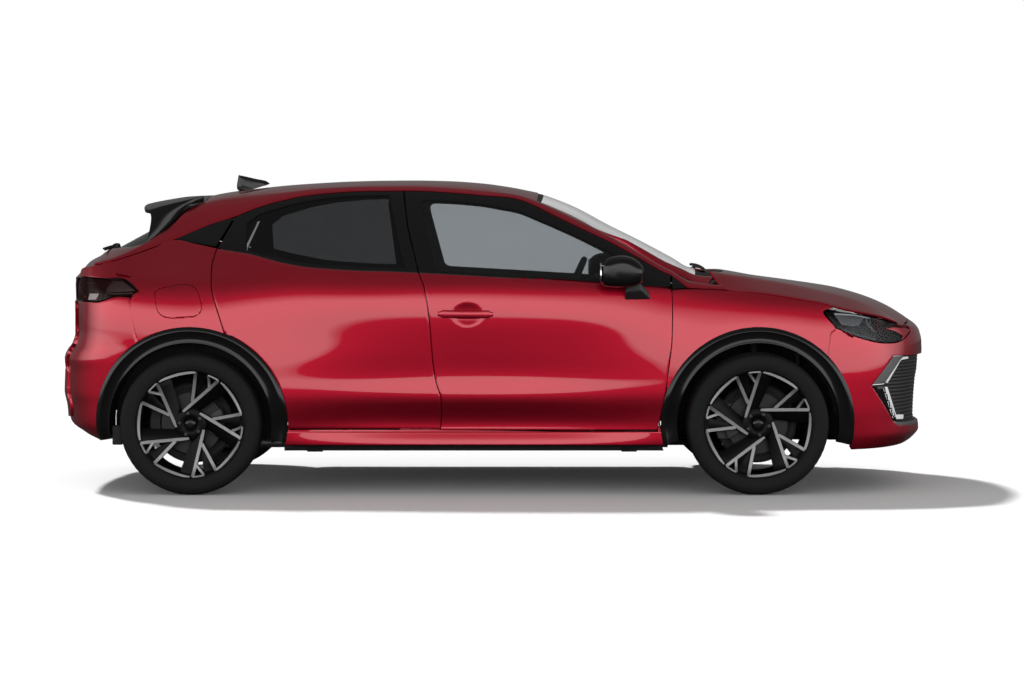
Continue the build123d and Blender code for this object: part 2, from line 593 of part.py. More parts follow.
seat_y = -350
seat_low = 400
seat_high = 520
bench_half = 575
steering_place = (370, 350, 900)
steering_radius = 182
cabin_floor = 222
tunnel_half = 85
screen_half = 110
exhaust_y = 150

seat = block(-260, 250, seat_y - 230, seat_y + 230, seat_low, seat_high)
seat += Pos(-330, seat_y, 740) * Rot(0, -18, 0) * Box(110, 450, 520)
seat += Pos(-430, seat_y, 1080) * Rot(0, -12, 0) * Box(90, 250, 160)
seat += block(-200, 180, seat_y - 130, seat_y + 130, cabin_floor, seat_low)
for post_y in (-400, -300):
    seat += Pos(-398, post_y, 990) * Rot(0, -14, 0) * Cylinder(8, 120)
save("front_seats", *both_sides(seat))
bench = block(-1010, -520, -bench_half, bench_half, 424, 560)
bench += Pos(-1040, 0, 770) * Rot(0, -18, 0) * Box(120, 2 * bench_half, 460)
save("rear_bench", bench)
column_tilt = math.radians(24)
wheel_plane = Plane(origin=steering_place, z_dir=(-math.cos(column_tilt), 0, math.sin(column_tilt)))
steering = Torus(steering_radius, 15) + Pos(0, 0, -12) * Cylinder(48, 40)
for angle in (0, 90, 180):
    steering += Rot(0, 0, angle) * Pos(105, 0, -8) * Box(150, 34, 14)
steering -= Pos(0, 0, -32) * Cylinder(12.05, 50)
save("steering_wheel", wheel_plane * steering)
column = wheel_plane * (Pos(0, 0, -130) * Cylinder(12, 220) + Pos(0, 0, -190) * Cylinder(35, 290 - 2 * 45))
dashboard = block(560, 940, -640, 640, 700, 960) & form(80)
dashboard += block(480, 560, -screen_half, screen_half, 700, 990)
dashboard += block(-200, 600, -tunnel_half, tunnel_half, cabin_floor + 2, 540)
dashboard += block(540, 640, -screen_half, screen_half, 400, 860) + column
save("dashboard", dashboard)
save("engine", block(1050, 1500, -300, 330, 330, 850))
exhaust = block(-1800, -1640, 60, 520, 265, 350)
exhaust += Pos(-300, exhaust_y, 165) * Rot(0, 90, 0) * Cylinder(24, 2300)
exhaust += block(-1750, -1420, exhaust_y - 24, exhaust_y + 24, 141, 350)
save("exhaust", exhaust)
save("mirror_right", mirror_piece)
save("mirror_left", mirror(mirror_piece, Plane.XZ))
save("quarter_panes", *both_sides(pane_front), *both_sides(pane_rear))
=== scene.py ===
import bpy
import json
import math
import numpy as np
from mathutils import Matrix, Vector

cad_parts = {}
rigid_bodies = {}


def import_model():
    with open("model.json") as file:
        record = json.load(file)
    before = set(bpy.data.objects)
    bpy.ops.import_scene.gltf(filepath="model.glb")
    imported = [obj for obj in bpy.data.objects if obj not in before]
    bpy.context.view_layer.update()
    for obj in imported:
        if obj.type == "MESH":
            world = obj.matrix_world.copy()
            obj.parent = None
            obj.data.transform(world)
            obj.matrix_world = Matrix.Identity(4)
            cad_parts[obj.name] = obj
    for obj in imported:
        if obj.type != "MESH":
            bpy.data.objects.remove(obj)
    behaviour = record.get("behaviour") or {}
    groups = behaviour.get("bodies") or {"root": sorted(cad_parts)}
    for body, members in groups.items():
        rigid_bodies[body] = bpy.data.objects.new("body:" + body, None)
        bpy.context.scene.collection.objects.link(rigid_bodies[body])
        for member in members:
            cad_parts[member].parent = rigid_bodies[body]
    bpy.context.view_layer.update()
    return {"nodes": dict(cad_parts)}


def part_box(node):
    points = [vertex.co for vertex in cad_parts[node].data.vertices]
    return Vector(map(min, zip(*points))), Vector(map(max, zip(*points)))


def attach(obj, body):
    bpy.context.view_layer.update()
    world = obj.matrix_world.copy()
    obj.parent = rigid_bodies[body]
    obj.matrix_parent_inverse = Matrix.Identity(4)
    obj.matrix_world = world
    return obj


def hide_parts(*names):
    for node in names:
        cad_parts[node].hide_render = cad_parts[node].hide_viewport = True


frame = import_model()
scene = bpy.context.scene


# camera and light

view = {"place": (0.0835, -13.2, 1.19), "pitchDown": 2.26, "focal": 2713, "width": 1024, "sensor": 36}

camData = bpy.data.cameras.new("camera")
camera = bpy.data.objects.new("camera", camData)
scene.collection.objects.link(camera)
camera.location = view["place"]
camera.rotation_euler = (math.radians(90 - view["pitchDown"]), 0, 0)
camData.sensor_width = view["sensor"]
camData.lens = view["focal"] * view["sensor"] / view["width"]
camData.clip_end = 100
scene.camera = camera


# shader words

class Sock:
    tree = None

    def __init__(self, socket):
        self.socket = socket

    @classmethod
    def node(cls, kind, settings=None, out=0, **sockets):
        made = cls.tree.nodes.new(kind)
        for word, value in (settings or {}).items():
            if word == "stops":
                ramp = made.color_ramp
                while len(ramp.elements) < len(value):
                    ramp.elements.new(0.5)
                for stop, (place, colour) in zip(ramp.elements, value):
                    stop.position = place
                    stop.color = (*colour, 1)
            else:
                setattr(made, word, value)
        for word, value in sockets.items():
            word = word.replace("_", " ")
            key = int(word[1:]) if word[0] == "s" and word[1:].isdigit() else word
            if isinstance(value, Sock):
                cls.tree.links.new(value.socket, made.inputs[key])
            else:
                made.inputs[key].default_value = value
        return Sock(made.outputs[out])

    def math(self, how, other=None, swap=False):
        first, second = (other, self) if swap else (self, other)
        sockets = {"s0": first}
        if second is not None:
            sockets["s1"] = second
        return Sock.node("ShaderNodeMath", {"operation": how}, **sockets)

    def __add__(self, other):
        return self.math("ADD", other)

    def __radd__(self, other):
        return self.math("ADD", other)

    def __sub__(self, other):
        return self.math("SUBTRACT", other)

    def __rsub__(self, other):
        return self.math("SUBTRACT", other, True)

    def __mul__(self, other):
        return self.math("MULTIPLY", other)

    def __rmul__(self, other):
        return self.math("MULTIPLY", other)

    def __truediv__(self, other):
        return self.math("DIVIDE", other)

    def __gt__(self, other):
        return self.math("GREATER_THAN", other)

    def __lt__(self, other):
        return self.math("LESS_THAN", other)


def place():
    return Sock.node("ShaderNodeTexCoord", out=3)


def noise(size, detail=3.0):
    return Sock.node("ShaderNodeTexNoise", Vector=place(), Scale=size, Detail=detail, Roughness=0.55)


def waves(scale, **settings):
    return Sock.node("ShaderNodeTexWave", settings, out=1, Vector=place(), Scale=scale)


def mixColour(mask, low, high):
    mixed = Sock.node("ShaderNodeMix", {"data_type": "RGBA"}, s0=mask, s6=low, s7=high)
    return Sock(mixed.socket.node.outputs[2])


def bump(height, strength, distance=0.002):
    return Sock.node("ShaderNodeBump", Height=height, Strength=strength, Distance=distance)


materials = {}


def material(name):
    made = bpy.data.materials.new(name)
    made.use_nodes = True
    made.node_tree.nodes.clear()
    Sock.tree = made.node_tree
    materials[name] = made
    return made


def finishMaterial(surface):
    out = Sock.tree.nodes.new("ShaderNodeOutputMaterial")
    Sock.tree.links.new(surface.socket, out.inputs[0])


def principled(**sockets):
    return Sock.node("ShaderNodeBsdfPrincipled", **sockets)


def rgb(red, green, blue):
    return (red, green, blue, 1)


paintLook = {"red": rgb(0.50, 0.004, 0.026), "deep": rgb(0.42, 0.003, 0.020), "flake": 900, "rough": 0.40,
             "coat": 1.0}
material("carPaint")
cells = Sock.node("ShaderNodeTexVoronoi", Vector=place(), Scale=paintLook["flake"], out=1)
flakes = Sock.node("ShaderNodeSeparateColor", Color=cells)
tone = mixColour(noise(1.5, 1.0), paintLook["deep"], paintLook["red"])
finishMaterial(principled(Base_Color=tone, Metallic=0.94, Roughness=paintLook["rough"] + flakes * 0.04,
                          Coat_Weight=paintLook["coat"], Coat_Roughness=0.02, Coat_IOR=1.5,
                          Normal=bump(flakes, 0.03, 0.0002)))


def plainMaterial(name, dark, light, rough, grain, bumpSize, strength, **more):
    material(name)
    coarse = noise(grain)
    fine = noise(bumpSize, 2.0)
    finishMaterial(principled(Base_Color=mixColour(coarse, dark, light), Roughness=rough + coarse * 0.08,
                              Normal=bump(fine, strength, 0.0006), **more))
    return materials[name]


def grey(level, tint=(1, 1, 1)):
    return rgb(level * tint[0], level * tint[1], level * tint[2])


plainMaterial("blackGloss", grey(0.004), grey(0.007), 0.12, 3, 400, 0.01, Specular_IOR_Level=0.35)
plainMaterial("blackSatin", grey(0.012), grey(0.022), 0.42, 8, 900, 0.12)
plainMaterial("blackMatte", grey(0.010), grey(0.018), 0.70, 10, 700, 0.25)
plainMaterial("rubber", grey(0.008), grey(0.012), 0.66, 12, 900, 0.15, Specular_IOR_Level=0.25)
plainMaterial("sealRubber", grey(0.008), grey(0.012), 0.55, 12, 900, 0.10)
plainMaterial("rimBlack", grey(0.002), grey(0.004), 0.30, 6, 700, 0.03, Specular_IOR_Level=0.12)
plainMaterial("rimMachined", grey(0.26), grey(0.31), 0.38, 60, 1800, 0.08, Metallic=0.85)
plainMaterial("steel", grey(0.30), grey(0.42), 0.35, 40, 900, 0.15, Metallic=0.9)
plainMaterial("castIron", grey(0.05), grey(0.09), 0.55, 30, 500, 0.4, Metallic=0.6)
plainMaterial("chassisDark", grey(0.012), grey(0.022), 0.65, 6, 300, 0.3)
plainMaterial("chrome", grey(0.62), grey(0.70), 0.12, 10, 300, 0.01, Metallic=1.0)
plainMaterial("cabinPlastic", grey(0.020), grey(0.030), 0.55, 12, 1400, 0.25)
plainMaterial("cabinGrey", grey(0.10), grey(0.13), 0.50, 12, 1400, 0.2)
plainMaterial("headliner", grey(0.30), grey(0.36), 0.85, 30, 900, 0.3)


def glassMaterial(name, tint, through, rough=0.02, shine=0.8, veil=0.12):
    material(name)
    gloss = principled(Base_Color=mixColour(noise(2), tint, tuple(0.8 * v for v in tint[:3]) + (1,)),
                       Roughness=rough, Specular_IOR_Level=0.6)
    clear = Sock.node("ShaderNodeBsdfTransparent", Color=rgb(*through))
    edge = Sock.node("ShaderNodeFresnel", IOR=1.5)
    finishMaterial(Sock.node("ShaderNodeMixShader", s0=edge * shine + veil, s1=clear, s2=gloss))


glassMaterial("clearGlass", grey(0.06), (0.80, 0.82, 0.83))
# the windscreen's glossy layer is near white and is mixed in strongly at grazing angles: a painted reflection
# of the pale sky on the glass
glassMaterial("windscreenPaintedReflection", grey(0.92), (0.80, 0.82, 0.83), 0.10, 2.4, -0.06)
glassMaterial("privacyGlass", grey(0.05), (0.47, 0.475, 0.48))
glassMaterial("lampGlass", grey(0.01), (0.92, 0.93, 0.95))
glassMaterial("smokedLens", rgb(0.03, 0.003, 0.004), (0.82, 0.74, 0.74))
print("materials ready")


# the body's form

wheels = {"front": 1.207, "rear": -1.384, "height": 0.325, "archInner": 0.370, "archOuter": 0.445}
bodyEnds = {"sideStart": -1.500, "sideEnd": 1.450, "reach": 0.410,
            "noseReach": 0.380, "rearSquare": 0.74, "noseSquare": 0.65}
shutGap = 0.0042

widthStations = np.array([-1850, -1600, -1384, -1150, -900, -600, -250, 150, 500, 800, 1000, 1207, 1450,
                          1700]) / 1000
widthRows = {
    150: [760, 790, 800, 810, 815, 820, 820, 820, 820, 820, 815, 810, 800, 780],
    230: [800, 830, 838, 846, 850, 848, 846, 846, 848, 850, 852, 850, 838, 812],
    300: [812, 844, 856, 862, 852, 839, 834, 834, 840, 855, 864, 862, 850, 824],
    380: [818, 852, 868, 874, 866, 850, 845, 845, 851, 864, 872, 870, 858, 832],
    440: [820, 855, 874, 880, 876, 865, 862, 862, 864, 874, 878, 876, 862, 836],
    520: [822, 858, 876, 880, 876, 864, 858, 858, 864, 876, 880, 878, 864, 838],
    620: [824, 860, 876, 878, 874, 866, 860, 860, 865, 874, 878, 877, 862, 834],
    720: [826, 860, 874, 874, 870, 868, 866, 866, 867, 869, 872, 873, 856, 824],
    820: [824, 856, 868, 868, 866, 868, 869, 869, 866, 858, 858, 860, 840, 800],
    900: [812, 842, 852, 856, 858, 862, 863, 862, 856, 842, 838, 834, 806, 755],
    960: [790, 818, 828, 836, 842, 846, 848, 846, 838, 820, 806, 790, 750, 690],
    1010: [760, 786, 796, 808, 818, 822, 823, 820, 808, 786, 764, 740, 690, 620],
    1100: [700, 722, 734, 752, 768, 776, 778, 772, 756, 728, 700, 665, 610, 540],
    1200: [625, 648, 664, 690, 712, 724, 728, 722, 700, 668, 636, 600, 540, 470],
    1300: [540, 565, 588, 622, 650, 668, 674, 668, 640, 602, 566, 526, 466, 396],
    1400: [440, 470, 500, 545, 580, 602, 610, 602, 570, 526, 486, 444, 384, 314],
    1500: [320, 356, 395, 450, 490, 516, 526, 516, 480, 432, 388, 344, 284, 214],
}
widthHeights = np.array(list(widthRows)) / 1000
widthTable = np.array(list(widthRows.values())) / 1000


def bendMatrix(x):
    step = np.diff(x)
    size = len(x)
    matrix, right = np.eye(size), np.zeros((size, size))
    for i in range(1, size - 1):
        matrix[i, i - 1:i + 2] = step[i - 1], 2 * (step[i - 1] + step[i]), step[i]
        right[i, i - 1] += 6 / step[i - 1]
        right[i, i] -= 6 / step[i - 1] + 6 / step[i]
        right[i, i + 1] += 6 / step[i]
    return np.linalg.solve(matrix, right)


def splineAt(x, values, bend, at):
    i = np.clip(np.searchsorted(x, at) - 1, 0, len(x) - 2)
    wide = x[i + 1] - x[i]
    p = (x[i + 1] - at) / wide
    q = 1 - p
    rows = np.arange(len(at))
    if values.shape[0] == len(x) and values.ndim == 2 and values.shape[1] == len(widthHeights):
        low, high, bendLow, bendHigh = values[i], values[i + 1], bend[i], bend[i + 1]
        p, q, wide = p[:, None], q[:, None], wide[:, None]
    else:
        low, high = values[rows, i], values[rows, i + 1]
        bendLow, bendHigh = bend[rows, i], bend[rows, i + 1]
    return p * low + q * high + ((p ** 3 - p) * bendLow + (q ** 3 - q) * bendHigh) * wide * wide / 6


alongBend = bendMatrix(widthStations) @ widthTable.T
upBend = bendMatrix(widthHeights)


def halfWidth(x, z):
    x, z = np.broadcast_arrays(np.asarray(x, float), np.asarray(z, float))
    shape, x, z = x.shape, x.ravel(), z.ravel()
    rows = splineAt(widthStations, widthTable.T, alongBend, x)
    i = np.clip(np.searchsorted(widthHeights, z) - 1, 0, len(widthHeights) - 2)
    wide = widthHeights[i + 1] - widthHeights[i]
    p = (widthHeights[i + 1] - z) / wide
    q = 1 - p
    each = np.arange(len(z))
    bend = rows @ upBend.T
    found = (p * rows[each, i] + q * rows[each, i + 1]
             + ((p ** 3 - p) * bend[each, i] + (q ** 3 - q) * bend[each, i + 1]) * wide * wide / 6)
    return found.reshape(shape)


def monotone(points):
    x, z = np.array(points, float).T * 0.001
    step = np.diff(x)
    slope = np.diff(z) / step
    tangent = np.zeros_like(z)
    tangent[0], tangent[-1] = slope[0], slope[-1]
    for i in range(1, len(x) - 1):
        if slope[i - 1] * slope[i] > 0:
            a = 2 * step[i] + step[i - 1]
            b = step[i] + 2 * step[i - 1]
            tangent[i] = (a + b) / (a / slope[i - 1] + b / slope[i])

    def value(at):
        at = np.asarray(at, float)
        i = np.clip(np.searchsorted(x, at) - 1, 0, len(x) - 2)
        t = np.clip((at - x[i]) / step[i], 0, 1)
        return ((2 * t ** 3 - 3 * t ** 2 + 1) * z[i] + (t ** 3 - 2 * t ** 2 + t) * step[i] * tangent[i]
                + (3 * t ** 2 - 2 * t ** 3) * z[i + 1] + (t ** 3 - t ** 2) * step[i] * tangent[i + 1])
    return value


frontFace = monotone([(150, 1900), (200, 1960), (230, 2012), (270, 2044), (340, 2036), (490, 2044),
                      (560, 2055), (620, 2058), (680, 2057), (730, 2046), (770, 2024), (850, 1985),
                      (1000, 1900), (1500, 1700)])
rearFace = monotone([(150, -1760), (230, -1850), (270, -1960), (305, -2022), (400, -2038), (460, -2054),
                     (560, -2052), (607, -2058), (645, -2043), (685, -2008), (740, -1990), (860, -1986),
                     (960, -1996), (1060, -1990), (1200, -1940), (1500, -1700)])
topLine = monotone([(-2200, 1000), (-1987, 1056), (-1900, 1078), (-1850, 1108), (-1751, 1163), (-1600, 1246),
                    (-1430, 1341), (-1370, 1373), (-1307, 1389), (-1153, 1410), (-998, 1427), (-844, 1438),
                    (-689, 1446), (-535, 1450), (-380, 1451), (-226, 1448), (-71, 1438), (84, 1417),
                    (161, 1402), (238, 1385), (315, 1358), (393, 1325), (547, 1243), (702, 1166),
                    (856, 1084), (940, 1037), (1020, 1026), (1088, 1022), (1165, 1010), (1242, 996),
                    (1397, 975), (1551, 953), (1629, 940), (1706, 921), (1783, 897), (1860, 866),
                    (1938, 824), (2015, 767), (2200, 560)])
crown = monotone([(-2200, 50), (-1987, 55), (-1600, 88), (-1459, 76), (-1380, 50), (-1000, 48), (-380, 45),
                  (100, 55), (295, 76), (765, 84), (940, 60), (1050, 50), (1233, 38), (1505, 48), (2200, 60)])


def topHeight(x, y):
    return topLine(x) - crown(x) * (np.abs(y) / 0.6) ** 2.2


def bezierAt(p0, p1, p2, p3, t):
    return (1 - t) ** 3 * p0 + 3 * (1 - t) ** 2 * t * p1 + 3 * (1 - t) * t * t * p2 + t ** 3 * p3


def nosePoint(t, z):
    front = frontFace(z)
    wide = halfWidth(bodyEnds["sideEnd"], z)
    slope = (wide - halfWidth(bodyEnds["sideEnd"] - 0.02, z)) / 0.02
    start, reach = bodyEnds["sideEnd"], bodyEnds["noseReach"]
    return (bezierAt(start, start + reach, front, front, t),
            bezierAt(wide, wide + reach * slope, bodyEnds["noseSquare"] * wide, 0, t))


def tailPoint(t, z):
    rear = rearFace(z)
    wide = halfWidth(bodyEnds["sideStart"], z)
    slope = (halfWidth(bodyEnds["sideStart"] + 0.02, z) - wide) / 0.02
    start, reach = bodyEnds["sideStart"], bodyEnds["reach"]
    return (bezierAt(rear, rear, start - reach, start, t),
            bezierAt(0, bodyEnds["rearSquare"] * wide, wide - reach * slope, wide, t))


def roundPoint(s, z):
    s, z = np.broadcast_arrays(np.asarray(s, float), np.asarray(z, float))
    tailX, tailY = tailPoint(np.clip(s, 0, 1), z)
    noseX, noseY = nosePoint(np.clip(s - 2, 0, 1), z)
    sideX = bodyEnds["sideStart"] + (s - 1) * (bodyEnds["sideEnd"] - bodyEnds["sideStart"])
    sideY = halfWidth(sideX, z)
    x = np.where(s < 1, tailX, np.where(s > 2, noseX, sideX))
    y = np.where(s < 1, tailY, np.where(s > 2, noseY, sideY))
    return np.stack([x, -y, z], -1)


def solveFor(function, target, rising):
    low, high = np.zeros_like(target), np.ones_like(target)
    for _ in range(34):
        middle = (low + high) / 2
        above = (function(middle) > target) == rising
        high = np.where(above, middle, high)
        low = np.where(above, low, middle)
    return (low + high) / 2


def fromSide(points):
    points = np.asarray(points, float)
    x, z = points[:, 0], points[:, 1]
    s = 1 + (x - bodyEnds["sideStart"]) / (bodyEnds["sideEnd"] - bodyEnds["sideStart"])
    nose = 2 + solveFor(lambda t: nosePoint(t, z)[0], x, True)
    tail = solveFor(lambda t: tailPoint(t, z)[0], x, True)
    return np.stack([np.where(x > bodyEnds["sideEnd"], nose, np.where(x < bodyEnds["sideStart"], tail,
                                                                      s)), z], -1)


def fromFront(points):
    points = np.asarray(points, float)
    y, z = points[:, 0], points[:, 1]
    return np.stack([2 + solveFor(lambda t: nosePoint(t, z)[1], y, False), z], -1)


def fromRear(points):
    points = np.asarray(points, float)
    y, z = points[:, 0], points[:, 1]
    return np.stack([solveFor(lambda t: tailPoint(t, z)[1], y, True), z], -1)


# building panels

def mm(points):
    return [tuple(value / 1000 for value in point) for point in points]


def evenly(points, count, smooth=True):
    points = np.asarray(points, float)
    if smooth and len(points) > 2:
        ends = np.vstack([2 * points[0] - points[1], points, 2 * points[-1] - points[-2]])
        fine = []
        t = np.linspace(0, 1, 12, endpoint=False)[:, None]
        for i in range(len(points) - 1):
            a, b, c, d = ends[i:i + 4]
            fine.append(0.5 * (2 * b + (c - a) * t + (2 * a - 5 * b + 4 * c - d) * t * t
                               + (3 * b - a - 3 * c + d) * t ** 3))
        points = np.vstack(fine + [points[-1:]])
    run = np.concatenate([[0], np.cumsum(np.linalg.norm(np.diff(points, axis=0), axis=1))])
    at = np.linspace(0, run[-1], count)
    return np.stack([np.interp(at, run, points[:, k]) for k in range(points.shape[1])], -1)


def joinedRuns(*runs):
    points = np.vstack([np.asarray(run, float) for run in runs])
    keep = np.linalg.norm(np.diff(points, axis=0), axis=1) > 0.00002
    return points[np.concatenate([[True], keep])]


def insetLoop(loop, amount):
    before = loop - np.roll(loop, 1, axis=0)
    after = np.roll(loop, -1, axis=0) - loop
    def normal(v):
        v = v / np.maximum(np.linalg.norm(v, axis=1), 1e-9)[:, None]
        return np.stack([-v[:, 1], v[:, 0]], -1)
    n0, n1 = normal(before), normal(after)
    middle = n0 + n1
    length = np.maximum(np.linalg.norm(middle, axis=1), 0.5)
    middle /= length[:, None]
    scale = np.clip(1 / np.maximum((middle * n0).sum(1), 0.35), 1, 2.2)
    area = 0.5 * np.sum(loop[:, 0] * np.roll(loop[:, 1], -1) - np.roll(loop[:, 0], -1) * loop[:, 1])
    return loop + middle * (amount * scale * np.sign(area))[:, None]


def coons(bottom, top, left, right):
    u = np.linspace(0, 1, len(bottom))[:, None, None]
    v = np.linspace(0, 1, len(left))[None, :, None]
    c0, c1, d0, d1 = bottom[:, None], top[:, None], left[None], right[None]
    corners = ((1 - u) * (1 - v) * bottom[0] + u * (1 - v) * bottom[-1] + (1 - u) * v * top[0]
               + u * v * top[-1])
    return (1 - v) * c0 + v * c1 + (1 - u) * d0 + u * d1 - corners


def bridged(first, second, count):
    t = np.linspace(0, 1, count)[None, :, None]
    return first[:, None] * (1 - t) + second[:, None] * t


def patchPlan(bottom, top, left, right, inset):
    loop = np.vstack([bottom[:-1], right[:-1], top[::-1][:-1], left[::-1][:-1]])
    if inset:
        loop = insetLoop(loop, inset)
    n, m = len(bottom), len(left)
    loop = np.vstack([loop, loop[:1]])
    bottom = loop[:n]
    right = loop[n - 1:n + m - 1]
    top = loop[n + m - 2:2 * n + m - 2][::-1]
    left = loop[2 * n + m - 3:][::-1]
    return coons(bottom, top, left, right)


bodyCentre = np.array([0, 0, 0.7])


def gridNormals(grid):
    along = np.gradient(grid, axis=0)
    across = np.gradient(grid, axis=1)
    normal = np.cross(along, across)
    return normal / np.maximum(np.linalg.norm(normal, axis=2), 1e-12)[:, :, None]


def outwardNormals(grid):
    normal = gridNormals(grid)
    return normal * np.sign((normal * (grid - bodyCentre)).sum())


def deselect():
    for obj in bpy.data.objects:
        obj.select_set(False)


def activate(obj):
    deselect()
    obj.select_set(True)
    bpy.context.view_layer.objects.active = obj


def meshPiece(name, vertices, faces):
    deselect()
    bpy.ops.mesh.primitive_plane_add(size=1)
    obj = bpy.context.active_object
    obj.name = name
    mesh = bpy.data.meshes.new(name)
    mesh.from_pydata([tuple(v) for v in vertices], [], faces)
    mesh.update()
    old = obj.data
    obj.data = mesh
    bpy.data.meshes.remove(old)
    return obj


def gridPiece(name, grids):
    vertices, faces, start = [], [], 0
    for grid in grids:
        n, m = grid.shape[:2]
        vertices.append(grid.reshape(-1, 3))
        for i in range(n - 1):
            for j in range(m - 1):
                a = start + i * m + j
                faces.append((a, a + m, a + m + 1, a + 1))
        start += n * m
    obj = meshPiece(name, np.vstack(vertices), faces)
    activate(obj)
    bpy.ops.object.mode_set(mode="EDIT")
    bpy.ops.mesh.select_all(action="SELECT")
    bpy.ops.mesh.remove_doubles(threshold=0.00003)
    bpy.ops.object.mode_set(mode="OBJECT")
    return obj


def faceOut(obj, centre=bodyCentre):
    mesh = obj.data
    total = 0.0
    for face in mesh.polygons:
        total += face.area * face.normal.dot(face.center - Vector(centre))
    if total < 0:
        mesh.flip_normals()


def applyModifier(obj, kind, **settings):
    activate(obj)
    made = obj.modifiers.new(kind.lower(), kind)
    for word, value in settings.items():
        setattr(made, word, value)
    bpy.ops.object.modifier_apply(modifier=made.name)


def softEdge(obj, width, segments=2, angle=60):
    applyModifier(obj, "BEVEL", width=width, segments=segments, limit_method="ANGLE",
                  angle_limit=math.radians(angle), use_clamp_overlap=True)


def smoothShade(obj, angle=35):
    activate(obj)
    bpy.ops.object.shade_smooth_by_angle(angle=math.radians(angle))


def dress(obj, finish, body, slot=None, *replaced):
    obj.data.materials.clear()
    obj.data.materials.append(materials[finish])
    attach(obj, body)
    if replaced:
        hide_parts(*replaced)
    return obj


def copyOf(obj, name):
    copy = obj.copy()
    copy.data = obj.data.copy()
    copy.name = name
    scene.collection.objects.link(copy)
    return copy


def otherSide(obj, name):
    copy = copyOf(obj, name)
    for vertex in copy.data.vertices:
        vertex.co.y = -vertex.co.y
    copy.data.flip_normals()
    return copy


def leftCopy(obj, name, finish, body, slot, *replaced):
    dress(otherSide(obj, name), finish, body, slot, *replaced)


def bothHalves(obj):
    applyModifier(obj, "MIRROR", use_axis=(False, True, False), use_clip=True, merge_threshold=0.0005)


def wall(obj, thick, edge, angle):
    faceOut(obj)
    applyModifier(obj, "SOLIDIFY", thickness=thick, offset=-1, use_even_offset=False)
    if edge:
        softEdge(obj, edge, angle=55)
    smoothShade(obj, angle)


def roundPatch(bottom, top, left, right, counts, inset=shutGap / 2, depth=0.0, view=fromSide, relief=None):
    stretch = np.array([1.0 if view else bodyEnds["sideEnd"] - bodyEnds["sideStart"], 1.0])
    curves = [stretch * (evenly(curve, counts[k // 2]) if len(curve) != counts[k // 2] else np.asarray(curve))
              for k, curve in enumerate((bottom, top, left, right))]
    plan = patchPlan(*curves, inset) / stretch
    shape = plan.shape
    flat = plan.reshape(-1, 2)
    grid = roundPoint(*(view(flat) if view else flat).T).reshape(*shape[:2], 3)
    if relief is not None:
        grid[..., 1] += relief(grid[..., 0], grid[..., 2])
    if depth:
        grid = grid - outwardNormals(grid) * depth
    return grid


# shut lines in the side view

def arch(axle, radius, start, stop, count=24):
    angles = np.radians(np.linspace(start, stop, count))
    return np.stack([wheels[axle] + radius * np.cos(angles), wheels["height"] + radius * np.sin(angles)], -1)


frontShut = mm([(813, 925), (814, 860), (814, 797), (811, 700), (802, 620), (790, 520), (776, 432),
                (748, 296)])
middleShut = mm([(-242, 296), (-239, 433), (-271, 558), (-291, 777), (-312, 933), (-343, 1016)])
pillarShut = mm([(-343, 1016), (-360, 1090), (-396, 1225), (-420, 1401)])
frontBelt = mm([(-343, 1016), (-252, 1012), (120, 991), (242, 986), (470, 970), (703, 952), (806, 943),
                (813, 925)])
rearBelt = mm([(-1272, 1127), (-1190, 1113), (-1109, 1100), (-995, 1069), (-881, 1046), (-768, 1035),
               (-616, 1026), (-465, 1022), (-343, 1016)])
rearShut = mm([(-1272, 1127), (-1284, 1085), (-1291, 1038), (-1286, 943), (-1259, 850)])
sillTop = {"front": 0.296, "rear": 0.302}
archCut = wheels["archOuter"] - 0.006


def lineAt(start, stop, count=2):
    return np.linspace(start, stop, count)


def panel(name, grids, finish, body, slot, replaced=(), thick=0.010, edge=0.0016, leftBody=None,
          leftReplaced=(), half=False, angle=35):
    obj = gridPiece(name if half or leftBody is None else name + "Right", grids)
    if half:
        bothHalves(obj)
    wall(obj, thick, edge, angle)
    dress(obj, finish, body, slot, *replaced)
    if leftBody:
        leftCopy(obj, name + "Left", finish, leftBody, slot, *leftReplaced)


# the doors below the windows, with the hollow behind the handle
frontDoor = {"columns": 98, "rows": 70, "cupX": -0.118, "cupZ": 0.828, "cupWide": 0.068, "cupTall": 0.052,
             "cupDeep": 0.0105}


def handleCup(x, z):
    along = (x - frontDoor["cupX"]) / frontDoor["cupWide"]
    up = (z - frontDoor["cupZ"]) / frontDoor["cupTall"]
    return frontDoor["cupDeep"] * np.clip(1 - (along ** 2 + up ** 2), 0, 1) ** 0.9


frontDoorGrid = roundPatch(lineAt((-0.242, sillTop["front"]), (0.748, sillTop["front"])), frontBelt[:-1],
                           middleShut, joinedRuns(np.array(frontShut)[::-1], np.array(frontBelt)[-2:-1]),
                           (frontDoor["columns"], frontDoor["rows"]), relief=handleCup)
panel("frontDoorSkin", [frontDoorGrid], "carPaint", "front_door_right", "body_paint", ["door_front_right"],
      leftBody="front_door_left", leftReplaced=["door_front_left"])
rearDoor = {"columns": 72, "rows": 56}
rearLine = evenly(joinedRuns(np.array(rearShut), arch("rear", archCut, 68.5, 68.5, 1)), 30)
rearArchSide = joinedRuns(arch("rear", archCut + 0.0050, -3, 66), rearLine[::-1])
rearDoorGrid = roundPatch(lineAt((rearArchSide[0][0], sillTop["rear"]), (-0.242, sillTop["rear"])), rearBelt,
                          rearArchSide, middleShut, (rearDoor["columns"], rearDoor["rows"]))
panel("rearDoorSkin", [rearDoorGrid], "carPaint", "rear_door_right", "body_paint", ["door_rear_right"],
      leftBody="rear_door_left", leftReplaced=["door_rear_left"])
print("doors ready")

